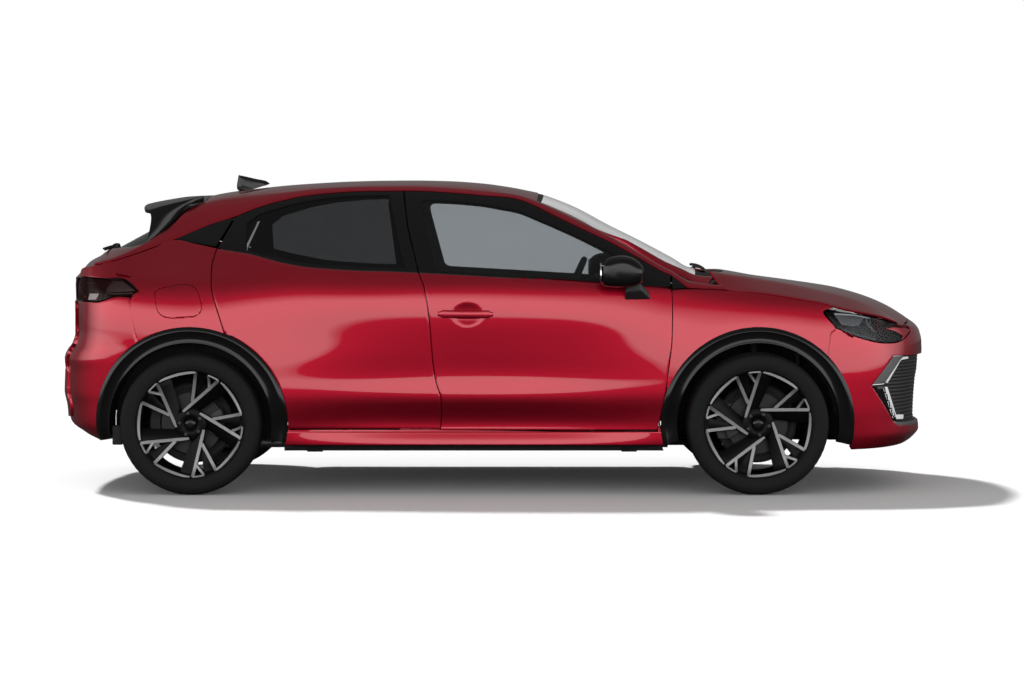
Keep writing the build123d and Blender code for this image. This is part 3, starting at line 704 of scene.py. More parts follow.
# the fenders
fenderArch = arch("front", archCut, 43.5, 166, 40)
fender = {"columns": 60, "rows": 34}
fenderTop = mm([(813, 938), (885, 942), (1049, 936), (1233, 918), (1373, 896), (1505, 874), (1556, 857)])
fenderFront = joinedRuns(fenderArch[:1], mm([(1535, 725), (1540, 744), (1560, 766), (1505, 835),
                                             (1556, 857)]))
fenderRear = joinedRuns(fenderArch[-1:], np.array(frontShut)[:-2][::-1], fenderTop[:1])
fenderGrid = roundPatch(fenderArch[::-1], fenderTop, fenderRear, fenderFront,
                        (fender["columns"], fender["rows"]))
panel("fender", [fenderGrid], "carPaint", "body", "body_paint", ["fenders"], leftBody="body")
print("fenders ready")


# strips that roll from the side onto the top

def upSide(s, z):
    low, high = roundPoint(s, z - 0.004), roundPoint(s, z + 0.004)
    way = high - low
    return way / np.linalg.norm(way, axis=-1)[..., None]


def topPoint(plan, height=topHeight):
    plan = np.asarray(plan, float)
    return np.stack([plan[..., 0], -plan[..., 1], height(plan[..., 0], plan[..., 1])], -1)


def rolled(low, lowWay, high, highWay, rows, pull=0.38):
    t = np.linspace(0, 1, rows)[None, :, None]
    reach = np.linalg.norm(high - low, axis=1)[:, None] * pull
    a, b, c, d = low, low + lowWay * reach, high + highWay * reach, high
    return bezierAt(a[:, None], b[:, None], c[:, None], d[:, None], t)


def outOnTop(high, low, height=topHeight):
    way = (low - high)[:, :2]
    way /= np.maximum(np.linalg.norm(way, axis=1), 1e-6)[:, None]
    step = 0.004
    ahead = high[:, :2] + way * step
    rise = height(ahead[:, 0], -ahead[:, 1]) - height(high[:, 0], -high[:, 1])
    out = np.column_stack([way * step, rise])
    return out / np.linalg.norm(out, axis=1)[:, None]


rail = {"front": 12, "along": 140, "rear": 30, "rows": 12, "pull": 0.40}
windowTop = mm([(886, 947), (811, 1004), (765, 1024), (650, 1092), (530, 1158), (415, 1212), (295, 1270),
                (120, 1351), (-64, 1372), (-202, 1384), (-340, 1392), (-507, 1392), (-660, 1389),
                (-813, 1377), (-927, 1360), (-1080, 1320), (-1202, 1272), (-1309, 1238), (-1472, 1168)])
railLow = joinedRuns(evenly(mm([(1049, 939), (960, 943), (886, 947)]), rail["front"]),
                     evenly(windowTop, rail["along"]),
                     evenly(mm([(-1472, 1168), (-1560, 1135), (-1650, 1102), (-1760, 1068), (-1850, 1050)]),
                            rail["rear"]))
railHigh = joinedRuns(evenly(mm([(988, 705), (935, 672), (889, 655)]), rail["front"]),
                      evenly(mm([(889, 655), (720, 611), (560, 566), (380, 536), (215, 522), (0, 524),
                                 (-400, 524), (-900, 520), (-1345, 506)]), rail["along"]),
                      evenly(mm([(-1345, 506), (-1420, 560), (-1520, 612), (-1620, 655), (-1700, 684),
                                 (-1775, 690)]), rail["rear"]))
railPlan = fromSide(railLow)
lowPoints = roundPoint(railPlan[:, 0], railPlan[:, 1])
highPoints = topPoint(railHigh)
railGrid = rolled(lowPoints, upSide(railPlan[:, 0], railPlan[:, 1]), highPoints,
                  outOnTop(highPoints, lowPoints), rail["rows"], rail["pull"])
panel("bodyRail", [railGrid], "carPaint", "body", "body_paint", ["body_shell"], leftBody="body")
print("rails ready")


# roof and bonnet

def topPatch(bottom, top, left, right, counts, inset=shutGap / 2, depth=0.0, height=topHeight):
    curves = [evenly(curve, counts[k // 2]) if len(curve) != counts[k // 2] else np.asarray(curve)
              for k, curve in enumerate((bottom, top, left, right))]
    plan = patchPlan(*curves, 0)
    if inset:
        plan = insetOpen(plan, inset)
    grid = topPoint(plan, height)
    if depth:
        normal = gridNormals(grid)
        grid = grid - normal * depth * np.sign(normal[..., 2:].mean())
    return grid


def insetOpen(plan, inset):
    n, m = plan.shape[:2]
    loop = np.vstack([plan[:-1, 0], plan[-1, :-1], plan[::-1, -1][:-1], plan[0, ::-1][:-1]])
    moved = insetLoop(loop, inset)
    moved[np.abs(loop[:, 1]) < 1e-6, 1] = 0
    moved = np.vstack([moved, moved[:1]])
    return coons(moved[:n], moved[n + m - 2:2 * n + m - 2][::-1], moved[2 * n + m - 3:][::-1],
                 moved[n - 1:n + m - 1])


roof = {"rows": 60, "columns": 24}
roofGrid = topPatch(lineAt((-1.345, 0), (0.212, 0)),
                    mm([(-1345, 503), (-900, 517), (-400, 521), (0, 521), (204, 519)]),
                    lineAt((-1.345, 0), (-1.345, 0.503)), mm([(212, 0), (209, 300), (204, 519)]),
                    (roof["rows"], roof["columns"]))
panel("roofSkin", [roofGrid], "carPaint", "body", "body_paint", ["roof_panel"], half=True)

hoodLines = {"crease": monotone([(950, 690), (1050, 680), (1318, 660), (1600, 620), (1753, 600),
                                 (1859, 580), (2000, 540)]),
             "creaseHeight": monotone([(950, 1034), (1049, 1012), (1160, 996), (1318, 971), (1600, 910),
                                       (1673, 889), (1753, 857), (1806, 829), (1859, 797), (1911, 757),
                                       (2000, 690)]),
             "edge": monotone([(940, 655), (985, 705), (1049, 800), (1100, 815), (1233, 826), (1400, 814),
                               (1593, 790), (1700, 762), (1848, 690), (1900, 640), (2000, 560)]),
             "edgeHeight": monotone([(940, 1042), (985, 1026), (1049, 939), (1233, 921), (1373, 899),
                                     (1505, 876), (1593, 852), (1700, 830), (1848, 792), (1900, 745),
                                     (2000, 670)])}


def hoodHeight(x, y):
    y = np.abs(y)
    creaseY, creaseZ = hoodLines["crease"](x), hoodLines["creaseHeight"](x)
    edgeY, edgeZ = hoodLines["edge"](x), hoodLines["edgeHeight"](x)
    creaseY = np.minimum(creaseY, edgeY - 0.02)
    centre = topLine(x)
    inner = centre - (centre - creaseZ) * (np.minimum(y, creaseY) / creaseY) ** 2.3
    t = np.maximum(y - creaseY, 0) / np.maximum(edgeY - creaseY, 0.02)
    outer = creaseZ - (creaseZ - edgeZ) * t ** 1.05
    return np.where(y < creaseY, inner, outer)


hood = {"rows": 70, "inner": 22, "outer": 12}
hoodRear = mm([(1092, 0), (1086, 300), (1045, 600), (990, 703)])
hoodFront = mm([(1974, 0), (1963, 300), (1925, 480), (1890, 585), (1862, 650), (1848, 688)])
hoodEdge = joinedRuns(evenly(mm([(990, 703), (1049, 800)]), 10),
                      evenly(mm([(1049, 800), (1100, 815), (1233, 826), (1400, 814), (1593, 790), (1700, 762),
                                 (1848, 688)]), hood["rows"] - 9))
plan = patchPlan(evenly(lineAt((1.092, 0), (1.974, 0)), hood["rows"]), hoodEdge,
                 evenly(hoodRear, hood["inner"] + hood["outer"]),
                 evenly(hoodFront, hood["inner"] + hood["outer"]), 0)
plan = insetOpen(plan, shutGap / 2)
panel("bonnetSkin", [topPoint(plan, hoodHeight)], "carPaint", "hood_lid", "body_paint", ["hood"], half=True)
print("roof and bonnet ready")


# quarters, sills and bumpers

def cutWith(obj, cutter, how="DIFFERENCE"):
    applyModifier(obj, "BOOLEAN", object=cutter, operation=how, solver="EXACT")
    bpy.data.objects.remove(cutter)


def evenNormals(obj):
    activate(obj)
    bpy.ops.object.mode_set(mode="EDIT")
    bpy.ops.mesh.select_all(action="SELECT")
    bpy.ops.mesh.normals_make_consistent(inside=False)
    bpy.ops.object.mode_set(mode="OBJECT")


def sideCutter(outline, yLow, yHigh, hole=None):
    outline = np.asarray(outline, float)
    n = len(outline)
    loops = [outline] if hole is None else [outline, np.asarray(hole, float)]
    vertices = [(x, y, z) for loop in loops for y in (yLow, yHigh) for x, z in loop]
    ring = [(i, (i + 1) % n) for i in range(n)]
    faces = [(a, b, n + b, n + a) for a, b in ring]
    if hole is None:
        faces += [tuple(range(n))[::-1], tuple(range(n, 2 * n))]
    else:
        faces += [(2 * n + b, 2 * n + a, 3 * n + a, 3 * n + b) for a, b in ring]
        faces += [(b, a, 2 * n + a, 2 * n + b) for a, b in ring]
        faces += [(n + a, n + b, 3 * n + b, 3 * n + a) for a, b in ring]
    cutter = meshPiece("cutter", vertices, faces)
    evenNormals(cutter)
    return cutter


def roundedLoop(points, radius, steps=6):
    points = np.asarray(points, float)
    out = []
    for i, corner in enumerate(points):
        before, after = points[i - 1] - corner, points[(i + 1) % len(points)] - corner
        a = corner + before / np.linalg.norm(before) * min(radius, np.linalg.norm(before) * 0.45)
        b = corner + after / np.linalg.norm(after) * min(radius, np.linalg.norm(after) * 0.45)
        for t in np.linspace(0, 1, steps):
            out.append((1 - t) ** 2 * a + 2 * (1 - t) * t * corner + t * t * b)
    return np.array(out)


quarter = {"columns": 62, "rows": 76, "thick": 0.010, "edge": 0.0014, "flapGap": 0.0014,
           "flapRound": 0.028, "flapThick": 0.003}
flapOutline = mm([(-1449, 961), (-1375, 961), (-1344, 928), (-1325, 860), (-1344, 819), (-1480, 808),
                  (-1527, 829), (-1543, 902), (-1546, 938)])
rearTip = fromRear([(0.560, 0.994)])
quarterBottom = arch("rear", archCut, 122, 68.6)
quarterRight = joinedRuns(quarterBottom[-1:], rearLine[:-1][::-1])
quarterTop = joinedRuns(rearTip, fromSide(mm([(-1920, 1032), (-1850, 1047), (-1760, 1065), (-1650, 1099),
                                              (-1560, 1132), (-1476, 1166), (-1380, 1150), (-1272, 1127)])))
bumperShut = mm([(-1630, 728), (-1646, 800), (-1655, 892)])
quarterLeft = joinedRuns(fromSide(joinedRuns(quarterBottom[:1], bumperShut,
                                             mm([(-1645, 909), (-1619, 930), (-1689, 986), (-1786, 989),
                                                 (-1876, 993)]))), rearTip)
quarterGrid = roundPatch(fromSide(quarterBottom), quarterTop, quarterLeft, fromSide(quarterRight),
                         (quarter["columns"], quarter["rows"]), view=None)
quarterRightPiece = gridPiece("quarterRight", [quarterGrid])
faceOut(quarterRightPiece)
applyModifier(quarterRightPiece, "SOLIDIFY", thickness=quarter["thick"], offset=-1)
quarterLeftPiece = otherSide(quarterRightPiece, "quarterLeft")
flapLoop = roundedLoop(flapOutline, quarter["flapRound"])
cutWith(quarterRightPiece, sideCutter(insetLoop(flapLoop, -quarter["flapGap"]), -1.0, -0.6,
                                      insetLoop(flapLoop, quarter["flapGap"])))
for piece in (quarterRightPiece, quarterLeftPiece):
    softEdge(piece, quarter["edge"])
    smoothShade(piece, 35)
activate(quarterRightPiece)
bpy.ops.object.mode_set(mode="EDIT")
bpy.ops.mesh.select_all(action="SELECT")
bpy.ops.mesh.separate(type="LOOSE")
bpy.ops.object.mode_set(mode="OBJECT")
islands = sorted(bpy.context.selected_objects, key=lambda o: len(o.data.vertices))
flapPiece, quarterRightPiece = islands[-2], islands[-1]
flapPiece.name, quarterRightPiece.name = "fuelFlapSkin", "quarterRight"
flapPoints = np.array([tuple(vertex.co) for vertex in flapPiece.data.vertices])
flapPlan = fromSide(flapPoints[:, [0, 2]])
flapSurface = roundPoint(flapPlan[:, 0], flapPlan[:, 1])[:, 1]
for vertex, surface in zip(flapPiece.data.vertices, flapSurface):
    vertex.co.y = min(vertex.co.y, surface + quarter["flapThick"])
dress(flapPiece, "carPaint", "fuel_lid", "body_paint", "fuel_flap")
dress(quarterRightPiece, "carPaint", "body", "body_paint")
dress(quarterLeftPiece, "carPaint", "body", "body_paint")
print("quarters ready")

sill = {"low": 0.227, "high": 0.292, "columns": 90, "rows": 10}
sillGrid = roundPatch(lineAt((-0.955, sill["low"]), (0.778, sill["low"])),
                      lineAt((-0.948, sill["high"]), (0.771, sill["high"])),
                      joinedRuns(arch("rear", archCut, -13, -4.3, 8)), arch("front", archCut, 193, 184.3, 8),
                      (sill["columns"], sill["rows"]), 0.001)
panel("sill", [sillGrid], "carPaint", "body", "body_paint", leftBody="body", thick=0.02, edge=0.003)

rearBumper = {"columns": 72, "rows": 48}
bumperBottom = joinedRuns(evenly(fromRear([(0, 0.345), (0.30, 0.345), (0.55, 0.343)]), 40),
                          fromSide(mm([(-2000, 330), (-1935, 296), (-1870, 262), (-1815, 243)])))
bumperTop = joinedRuns(fromRear([(0, 0.685), (0.25, 0.685), (0.498, 0.685), (0.530, 0.760), (0.508, 0.872)]),
                       fromSide(mm([(-1960, 876), (-1890, 879), (-1850, 877), (-1804, 880), (-1727, 904),
                                    (-1660, 902)])))
bumperArch = joinedRuns(arch("rear", archCut, 190.8, 122, 30), bumperShut, mm([(-1660, 902)]))
rearBumperGrid = roundPatch(bumperBottom, bumperTop, lineAt((0, 0.345), (0, 0.685)), fromSide(bumperArch),
                            (rearBumper["columns"], rearBumper["rows"]), 0, view=None)
panel("rearBumperSkin", [rearBumperGrid], "carPaint", "body", "body_paint", ["rear_bumper"], half=True)

frontBumper = {"rows": 28, "topRows": 12, "topColumns": 38}
bumperRuns = [(fromFront([(0, 0.305), (0.20, 0.305), (0.42, 0.304)]),
               fromFront([(0, 0.222), (0.20, 0.222), (0.42, 0.216)]), 30),
              (fromSide(mm([(1940, 303), (1881, 302), (1846, 327)])),
               fromSide(mm([(1940, 212), (1800, 206), (1640, 204)])), 16),
              (fromSide(mm([(1846, 327), (1731, 497)])), fromSide(arch("front", archCut, -16, 25)), 26),
              (fromSide(mm([(1731, 497), (1846, 632)])),
               fromSide(joinedRuns(arch("front", archCut, 25, 43.5, 10),
                                   mm([(1535, 725), (1541, 744), (1560, 761), (1619, 734)]))), 30),
              (fromSide(mm([(1846, 632), (1951, 627)])),
               fromSide(mm([(1619, 734), (1690, 710), (1777, 690), (1856, 688), (1905, 703),
                            (1948, 738)])), 26),
              (np.vstack([fromSide(mm([(1951, 627)])),
                          fromFront([(0.38, 0.627), (0.2, 0.627), (0, 0.627)])]),
               np.vstack([fromSide(mm([(1948, 738)])),
                          fromFront([(0.42, 0.741), (0.25, 0.743), (0, 0.743)])]),
               frontBumper["topColumns"])]
grilleEdge = np.vstack([evenly(inner, count, False)[0 if k == 0 else 1:] for k, (inner, outer, count)
                        in enumerate(bumperRuns)])
skirtEdge = np.vstack([evenly(outer, count)[0 if k == 0 else 1:] for k, (inner, outer, count)
                       in enumerate(bumperRuns)])
bumperPlan = bridged(grilleEdge, skirtEdge, frontBumper["rows"])
bumperGrid = roundPoint(bumperPlan[..., 0], bumperPlan[..., 1])
noseLow = bumperGrid[-frontBumper["topColumns"]:, -1]
nosePlan = bumperPlan[-frontBumper["topColumns"]:, -1]
hoodNose = evenly(mm([(1866, 652), (1894, 587), (1929, 481), (1967, 300), (1978, 0)]),
                  frontBumper["topColumns"])
noseHigh = topPoint(hoodNose, hoodHeight)
noseGrid = rolled(noseLow, upSide(nosePlan[:, 0], nosePlan[:, 1]), noseHigh,
                  outOnTop(noseHigh, noseLow, hoodHeight), frontBumper["topRows"], 0.36)
panel("frontBumperSkin", [bumperGrid, noseGrid], "carPaint", "body", "body_paint", ["front_bumper"],
      half=True)
print("bumpers ready")


# tailgate, its glass and the spoiler

gate = {"columns": 44, "rows": 30}
gateTopRow = evenly(fromRear([(0, 0.992), (0.25, 0.992), (0.506, 0.984)]), gate["columns"])
gateLow = patchPlan(evenly(fromRear([(0, 0.690), (0.25, 0.690), (0.493, 0.690)]), gate["columns"]),
                    gateTopRow, evenly(lineAt((0, 0.690), (0, 0.992)), gate["rows"]),
                    evenly(fromRear([(0.493, 0.690), (0.525, 0.760), (0.502, 0.880), (0.506, 0.984)]),
                           gate["rows"]), 0)
gateLowGrid = roundPoint(gateLow[..., 0], gateLow[..., 1])
shoulderLow = gateLowGrid[:, -1]
glassBase = evenly(mm([(-1853, 0), (-1850, 300), (-1836, 545), (-1790, 640), (-1735, 676)]), gate["columns"])
shoulderHigh = topPoint(glassBase)
shoulderSide = evenly(np.vstack([shoulderLow[-1], highPoints[-2:-14:-1] + np.array([0, 0.006, 0.001]),
                                 shoulderHigh[-1]]), 20)
shoulderMiddle = rolled(shoulderLow[:1], np.array([[0, 0, 1.0]]), shoulderHigh[:1],
                        np.array([[-0.93, 0, -0.37]]), 20, 0.45)[0]
shoulderGrid = coons(shoulderLow, shoulderHigh, shoulderMiddle, shoulderSide)
panel("tailgateSkin", [gateLowGrid, shoulderGrid], "carPaint", "tailgate_lid", "body_paint", ["tailgate"],
      half=True)

backLight = {"rows": 40, "columns": 30, "depth": 0.004}
rearGlassGrid = topPatch(lineAt((-1.843, 0), (-1.440, 0)),
                         mm([(-1826, 540), (-1740, 592), (-1640, 604), (-1505, 560), (-1430, 505)]),
                         mm([(-1843, 0), (-1840, 300), (-1826, 540)]),
                         mm([(-1440, 0), (-1438, 300), (-1430, 505)]),
                         (backLight["rows"], backLight["columns"]), 0.001, backLight["depth"])
panel("rearGlass", [rearGlassGrid], "privacyGlass", "tailgate_lid", "dark_glass", ["tailgate_glass"],
      half=True, thick=0.005, edge=0.001)
flankOuter = joinedRuns(evenly(mm([(-1735, 676), (-1700, 679), (-1620, 650), (-1520, 607), (-1420, 555),
                                   (-1352, 502)]), 30),
                        evenly(mm([(-1352, 502), (-1350, 300), (-1350, 0)]), 20))
flankInner = joinedRuns(evenly(mm([(-1826, 540), (-1740, 592), (-1640, 604), (-1505, 560), (-1430, 505)]),
                               30), evenly(mm([(-1430, 505), (-1438, 300), (-1440, 0)]), 20))
panel("tailgateFrame", [topPoint(bridged(flankInner, flankOuter, 8))], "blackGloss", "tailgate_lid",
      "black_gloss", half=True)

spoilerLook = {"bend": 0.046, "halfWide": 0.560, "thick": 0.020}
spoilerLine = monotone([(-1700, 1326), (-1664, 1340), (-1560, 1362), (-1462, 1376), (-1352, 1381),
                        (-1300, 1383)])


def spoilerHeight(x, y):
    return spoilerLine(x) - spoilerLook["bend"] * (np.abs(y) / spoilerLook["halfWide"]) ** 2.2 - 0.001


spoilerGrid = topPatch(evenly(lineAt((-1.664, 0), (-1.352, 0)), 30),
                       evenly(mm([(-1600, 585), (-1520, 598), (-1420, 572), (-1352, 506)]), 30),
                       evenly(mm([(-1664, 0), (-1660, 250), (-1640, 480), (-1600, 585)]), 40),
                       evenly(lineAt((-1.352, 0), (-1.352, 0.506)), 40), (30, 40), 0.001, 0, spoilerHeight)
panel("spoilerLip", [spoilerGrid], "blackGloss", "tailgate_lid", "black_gloss", ["spoiler"], half=True,
      thick=spoilerLook["thick"], edge=0.004)
bladeLow = evenly(topPoint(mm([(-1355, 506), (-1430, 562), (-1520, 611), (-1612, 652)])), 24)
bladeHigh = evenly(np.array([(-1.355, -0.506, 1.372), (-1.430, -0.574, 1.350), (-1.520, -0.592, 1.328),
                             (-1.603, -0.580, 1.305)]), 24)
bladeRear = evenly(np.array([bladeLow[-1], (-1.598, -0.640, 1.190), (-1.590, -0.612, 1.265),
                             bladeHigh[-1]]), 12)
bladeGrid = coons(bladeLow, bladeHigh, evenly(np.array([bladeLow[0], bladeHigh[0]]), 12), bladeRear)
panel("spoilerBlade", [bladeGrid], "blackGloss", "tailgate_lid", "black_gloss", leftBody="tailgate_lid",
      thick=0.012, edge=0.003)
print("tailgate ready")


# glass and black frames

def tidyMesh(obj, distance=0.0001):
    activate(obj)
    bpy.ops.object.mode_set(mode="EDIT")
    bpy.ops.mesh.select_all(action="SELECT")
    bpy.ops.mesh.remove_doubles(threshold=distance)
    bpy.ops.mesh.normals_make_consistent(inside=False)
    bpy.ops.object.mode_set(mode="OBJECT")
    return obj


def cutPatch(name, outline, finish, body, slot=None, replaced=(), depth=0.0, thick=0.006, hole=None,
             edge=0.0012, step=0.02, leftBody=None, leftReplaced=()):
    outline = np.asarray(outline, float)
    low, high = outline.min(0) - 0.01, outline.max(0) + 0.01
    counts = tuple(int(n) for n in np.clip((high - low) / step, 6, 90))
    grid = roundPatch(lineAt((low[0], low[1]), (high[0], low[1])),
                      lineAt((low[0], high[1]), (high[0], high[1])),
                      lineAt((low[0], low[1]), (low[0], high[1])),
                      lineAt((high[0], low[1]), (high[0], high[1])), counts, 0, depth)
    obj = gridPiece(name if leftBody is None else name + "Right", [grid])
    faceOut(obj)
    applyModifier(obj, "SOLIDIFY", thickness=thick, offset=-1)
    cutWith(obj, sideCutter(outline, -1.2, -0.2), "INTERSECT")
    if hole is not None:
        cutWith(obj, sideCutter(hole, -1.2, -0.2))
    if edge:
        softEdge(obj, edge)
    smoothShade(obj)
    dress(obj, finish, body, slot, *replaced)
    if leftBody:
        leftCopy(obj, name + "Left", finish, leftBody, slot, *leftReplaced)


def between(points, first, last):
    points = np.asarray(points, float)
    a = int(np.argmin(np.linalg.norm(points - np.asarray(first), axis=1)))
    b = int(np.argmin(np.linalg.norm(points - np.asarray(last), axis=1)))
    return points[a:b + 1] if a <= b else points[b:a + 1][::-1]


topFine = evenly(windowTop, 260)
frontGlass = roundedLoop(mm([(-262, 1029), (120, 1007), (470, 986), (640, 974), (655, 1010), (560, 1096),
                             (415, 1168), (295, 1222), (120, 1296), (-64, 1330), (-202, 1343),
                             (-338, 1348), (-310, 1205)]), 0.035)
rearGlass = mm([(-455, 1240), (-425, 1100), (-405, 1036), (-465, 1036), (-616, 1040), (-768, 1049),
                (-881, 1060), (-1040, 1092), (-1140, 1118), (-1140, 1240), (-1080, 1285), (-927, 1330),
                (-813, 1352), (-660, 1366), (-507, 1370), (-485, 1370)])
frameLook = {"gap": 0.0035, "depth": 0.0015, "thick": 0.014, "glassDepth": 0.006, "glassThick": 0.0045}
pillarLine = evenly(pillarShut, 14)
frontFrame = joinedRuns(evenly(frontBelt, 40)[:-2], mm([(811, 950), (811, 1002)]),
                        between(topFine, (0.811, 1.004), (-0.416, 1.392)), pillarLine[::-1][1:-1])
rearFrame = joinedRuns(between(topFine, (-0.424, 1.392), (-1.192, 1.276)), mm([(-1210, 1245), (-1272, 1127)]),
                       evenly(rearBelt, 40), pillarLine[1:-1])
cutPatch("frontFrame", insetLoop(frontFrame, frameLook["gap"]), "blackGloss", "front_door_right",
         "black_gloss", depth=frameLook["depth"], thick=frameLook["thick"], hole=frontGlass,
         leftBody="front_door_left")
cutPatch("rearFrame", insetLoop(rearFrame, frameLook["gap"]), "blackGloss", "rear_door_right", "black_gloss",
         depth=frameLook["depth"], thick=frameLook["thick"], hole=rearGlass, leftBody="rear_door_left")
cutPatch("frontDoorGlass", frontGlass, "clearGlass", "front_door_right", "clear_glass",
         ["door_glass_front_right"], depth=frameLook["glassDepth"], thick=frameLook["glassThick"],
         leftBody="front_door_left", leftReplaced=["door_glass_front_left"], edge=0)
cutPatch("rearDoorGlass", rearGlass, "privacyGlass", "rear_door_right", "dark_glass",
         ["door_glass_rear_right"], depth=frameLook["glassDepth"], thick=frameLook["glassThick"],
         leftBody="rear_door_left", leftReplaced=["door_glass_rear_left"], edge=0)
frontPane = mm([(816, 944), (880, 946), (816, 999)])
rearPane = joinedRuns(mm([(-1279, 1134), (-1216, 1247)]), between(topFine, (-1.216, 1.266), (-1.470, 1.169)),
                      mm([(-1470, 1167), (-1380, 1152)]))
cutPatch("frontPane", frontPane, "blackGloss", "body", "black_gloss", ["quarter_panes"], depth=0.003,
         leftBody="body")
cutPatch("rearPane", rearPane, "blackGloss", "body", "black_gloss", depth=0.002, leftBody="body")
print("side glass ready")

# windscreen, its black border and the cowl
screenEdge = evenly(mm([(215, 519), (380, 533), (560, 563), (720, 608), (889, 652), (930, 668)]), 50)
screenTop = evenly(mm([(232, 0), (228, 300), (215, 519)]), 40)
screenBase = evenly(mm([(962, 0), (956, 300), (930, 668)]), 40)
screenGrid = topPatch(evenly(lineAt((0.232, 0), (0.962, 0)), 50), screenEdge, screenTop, screenBase,
                      (50, 40), 0.002, 0.004)
# the windscreen's glass carries a painted white reflection of the sky at grazing angles
panel("windscreen", [screenGrid], "windscreenPaintedReflection", "body", "clear_glass", ["windscreen"], half=True,
      thick=0.005, edge=0.001)
borderOuter = joinedRuns(screenTop, screenEdge[1:], screenBase[::-1][1:])
borderInner = joinedRuns(evenly(mm([(278, 0), (272, 300), (262, 470)]), 40),
                         evenly(mm([(262, 470), (400, 492), (560, 520), (720, 562), (850, 600)]), 50)[1:],
                         evenly(mm([(850, 600), (872, 300), (878, 0)]), 40)[1:])
count = min(len(borderOuter), len(borderInner))
borderOuter, borderInner = evenly(borderOuter, count, False), evenly(borderInner, count, False)
borderGrid = topPoint(bridged(borderInner, borderOuter, 6)) - np.array([0, 0, 0.012])
panel("screenBorder", [borderGrid], "blackSatin", "body", "black_matte", half=True, thick=0.003, edge=0)

headerFront = evenly(mm([(236, 0), (232, 300), (219, 519)]), 40)
headerRear = evenly(mm([(206, 0), (202, 300), (196, 519)]), 40)
headerGrid = topPoint(bridged(headerRear, headerFront, 5)) - np.array([0, 0, 0.0035])
panel("screenHeader", [headerGrid], "sealRubber", "body", "black_matte", half=True,
      thick=0.008, edge=0)

cowl = {"rows": 10, "columns": 60, "drop": 0.018}
cowlRear = evenly(mm([(960, 0), (954, 300), (936, 618)]), cowl["columns"])
cowlFront = evenly(mm([(1087, 0), (1081, 300), (1040, 600), (1030, 618)]), cowl["columns"])
cowlGrid = topPoint(bridged(cowlRear, cowlFront, cowl["rows"]))
cowlGrid[..., 2] -= cowl["drop"] * np.sin(np.linspace(0.35, math.pi - 0.1, cowl["rows"]))[None, :] + 0.004
ribs = 0.0025 * (np.sin(np.linspace(0, 60 * math.pi, cowl["columns"])) > 0)
cowlGrid[:, 2:-2, 2] -= ribs[:, None]
panel("cowlCover", [cowlGrid], "blackMatte", "body", "black_matte", ["cowl_panel"], half=True,
      thick=0.006, edge=0)
footInner = evenly(mm([(470, 548), (600, 565), (720, 580), (820, 588), (900, 594), (960, 600),
                       (1042, 603)]), 40)
footOuter = evenly(mm([(470, 550), (600, 578), (720, 613), (820, 639), (889, 657), (935, 674),
                       (987, 704)]), 40)
cornerPlan = patchPlan(footInner, footOuter, evenly(np.array([footInner[0], footOuter[0]]), 8),
                       evenly(np.array([footInner[-1], footOuter[-1]]), 8), 0)
footGrid = topPoint(cornerPlan)
footRise = np.sin(np.linspace(0.25, math.pi - 0.12, 8)) ** 0.8 * 0.030
footGrid[..., 2] += 0.0015 + np.clip(np.linspace(-0.05, 4.0, 40), 0, 1)[:, None] * footRise[None]
panel("pillarFoot", [footGrid], "carPaint", "body", "body_paint",
      leftBody="body", thick=0.006)


def tube(name, points, radius, finish, body, slot=None, sides=4):
    deselect()
    data = bpy.data.curves.new(name, "CURVE")
    data.dimensions = "3D"
    data.bevel_depth = radius
    data.bevel_resolution = sides
    data.resolution_u = 10
    spline = data.splines.new("NURBS")
    spline.points.add(len(points) - 1)
    for point, place in zip(spline.points, points):
        point.co = (*place, 1)
    spline.order_u = 3
    spline.use_endpoint_u = True
    data.use_fill_caps = True
    obj = bpy.data.objects.new(name, data)
    scene.collection.objects.link(obj)
    activate(obj)
    bpy.ops.object.convert(target="MESH")
    obj = bpy.context.active_object
    smoothShade(obj, 50)
    return dress(obj, finish, body, slot)


wiperLook = {"blade": 0.007, "arm": 0.006, "lift": 0.012}
for k, (hubY, tipY) in enumerate(((-0.420, 0.110), (0.150, 0.660))):
    hub = np.array([1.012, hubY, float(topHeight(1.012, hubY)) + 0.004])
    run = [np.array([1.000 - 0.040 * t, hubY + (tipY - hubY) * t, 0]) for t in np.linspace(0, 1, 6)]
    for point in run:
        point[2] = float(topHeight(point[0], point[1])) + wiperLook["lift"]
    tube(f"wiperArm{k}", [hub] + run[1:4], wiperLook["arm"], "blackSatin", "body", "black_matte")
    tube(f"wiperBlade{k}", run[1:], wiperLook["blade"], "rubber", "body", "black_matte")
print("windscreen ready")

# arch trims

trim = {"outer": wheels["archOuter"] - 0.001, "inner": wheels["archInner"], "turns": 90,
        "front": (-13.0, 192.2), "rear": (-11.2, 191.0)}
# (radius, how far it stands out of the body's form)
trimSection = np.array([(0.4445, -0.006), (0.4445, 0.0000), (0.4425, 0.0016), (0.4360, 0.0040),
                        (0.4270, 0.0062), (0.4235, 0.0062), (0.4205, 0.0044), (0.4170, 0.0010),
                        (0.3960, -0.0036), (0.3780, -0.0056), (0.3745, -0.0040), (0.3715, -0.0044),
                        (0.3700, -0.0200), (0.3700, -0.0450)])
for axle in ("front", "rear"):
    angles = np.radians(np.linspace(*trim[axle], trim["turns"]))
    x = wheels[axle] + trimSection[None, :, 0] * np.cos(angles)[:, None]
    z = wheels["height"] + trimSection[None, :, 0] * np.sin(angles)[:, None]
    plan = fromSide(np.stack([x.ravel(), z.ravel()], -1))
    grid = roundPoint(plan[:, 0], plan[:, 1]).reshape(*x.shape, 3)
    grid[..., 1] -= trimSection[None, :, 1]
    panel(axle + "ArchTrim", [grid], "blackGloss", "body", "black_gloss",
          ["arch_trims"] if axle == "front" else (), leftBody="body", thick=0.004, edge=0, angle=50)
print("arch trims ready")


# the welded structure behind the panels

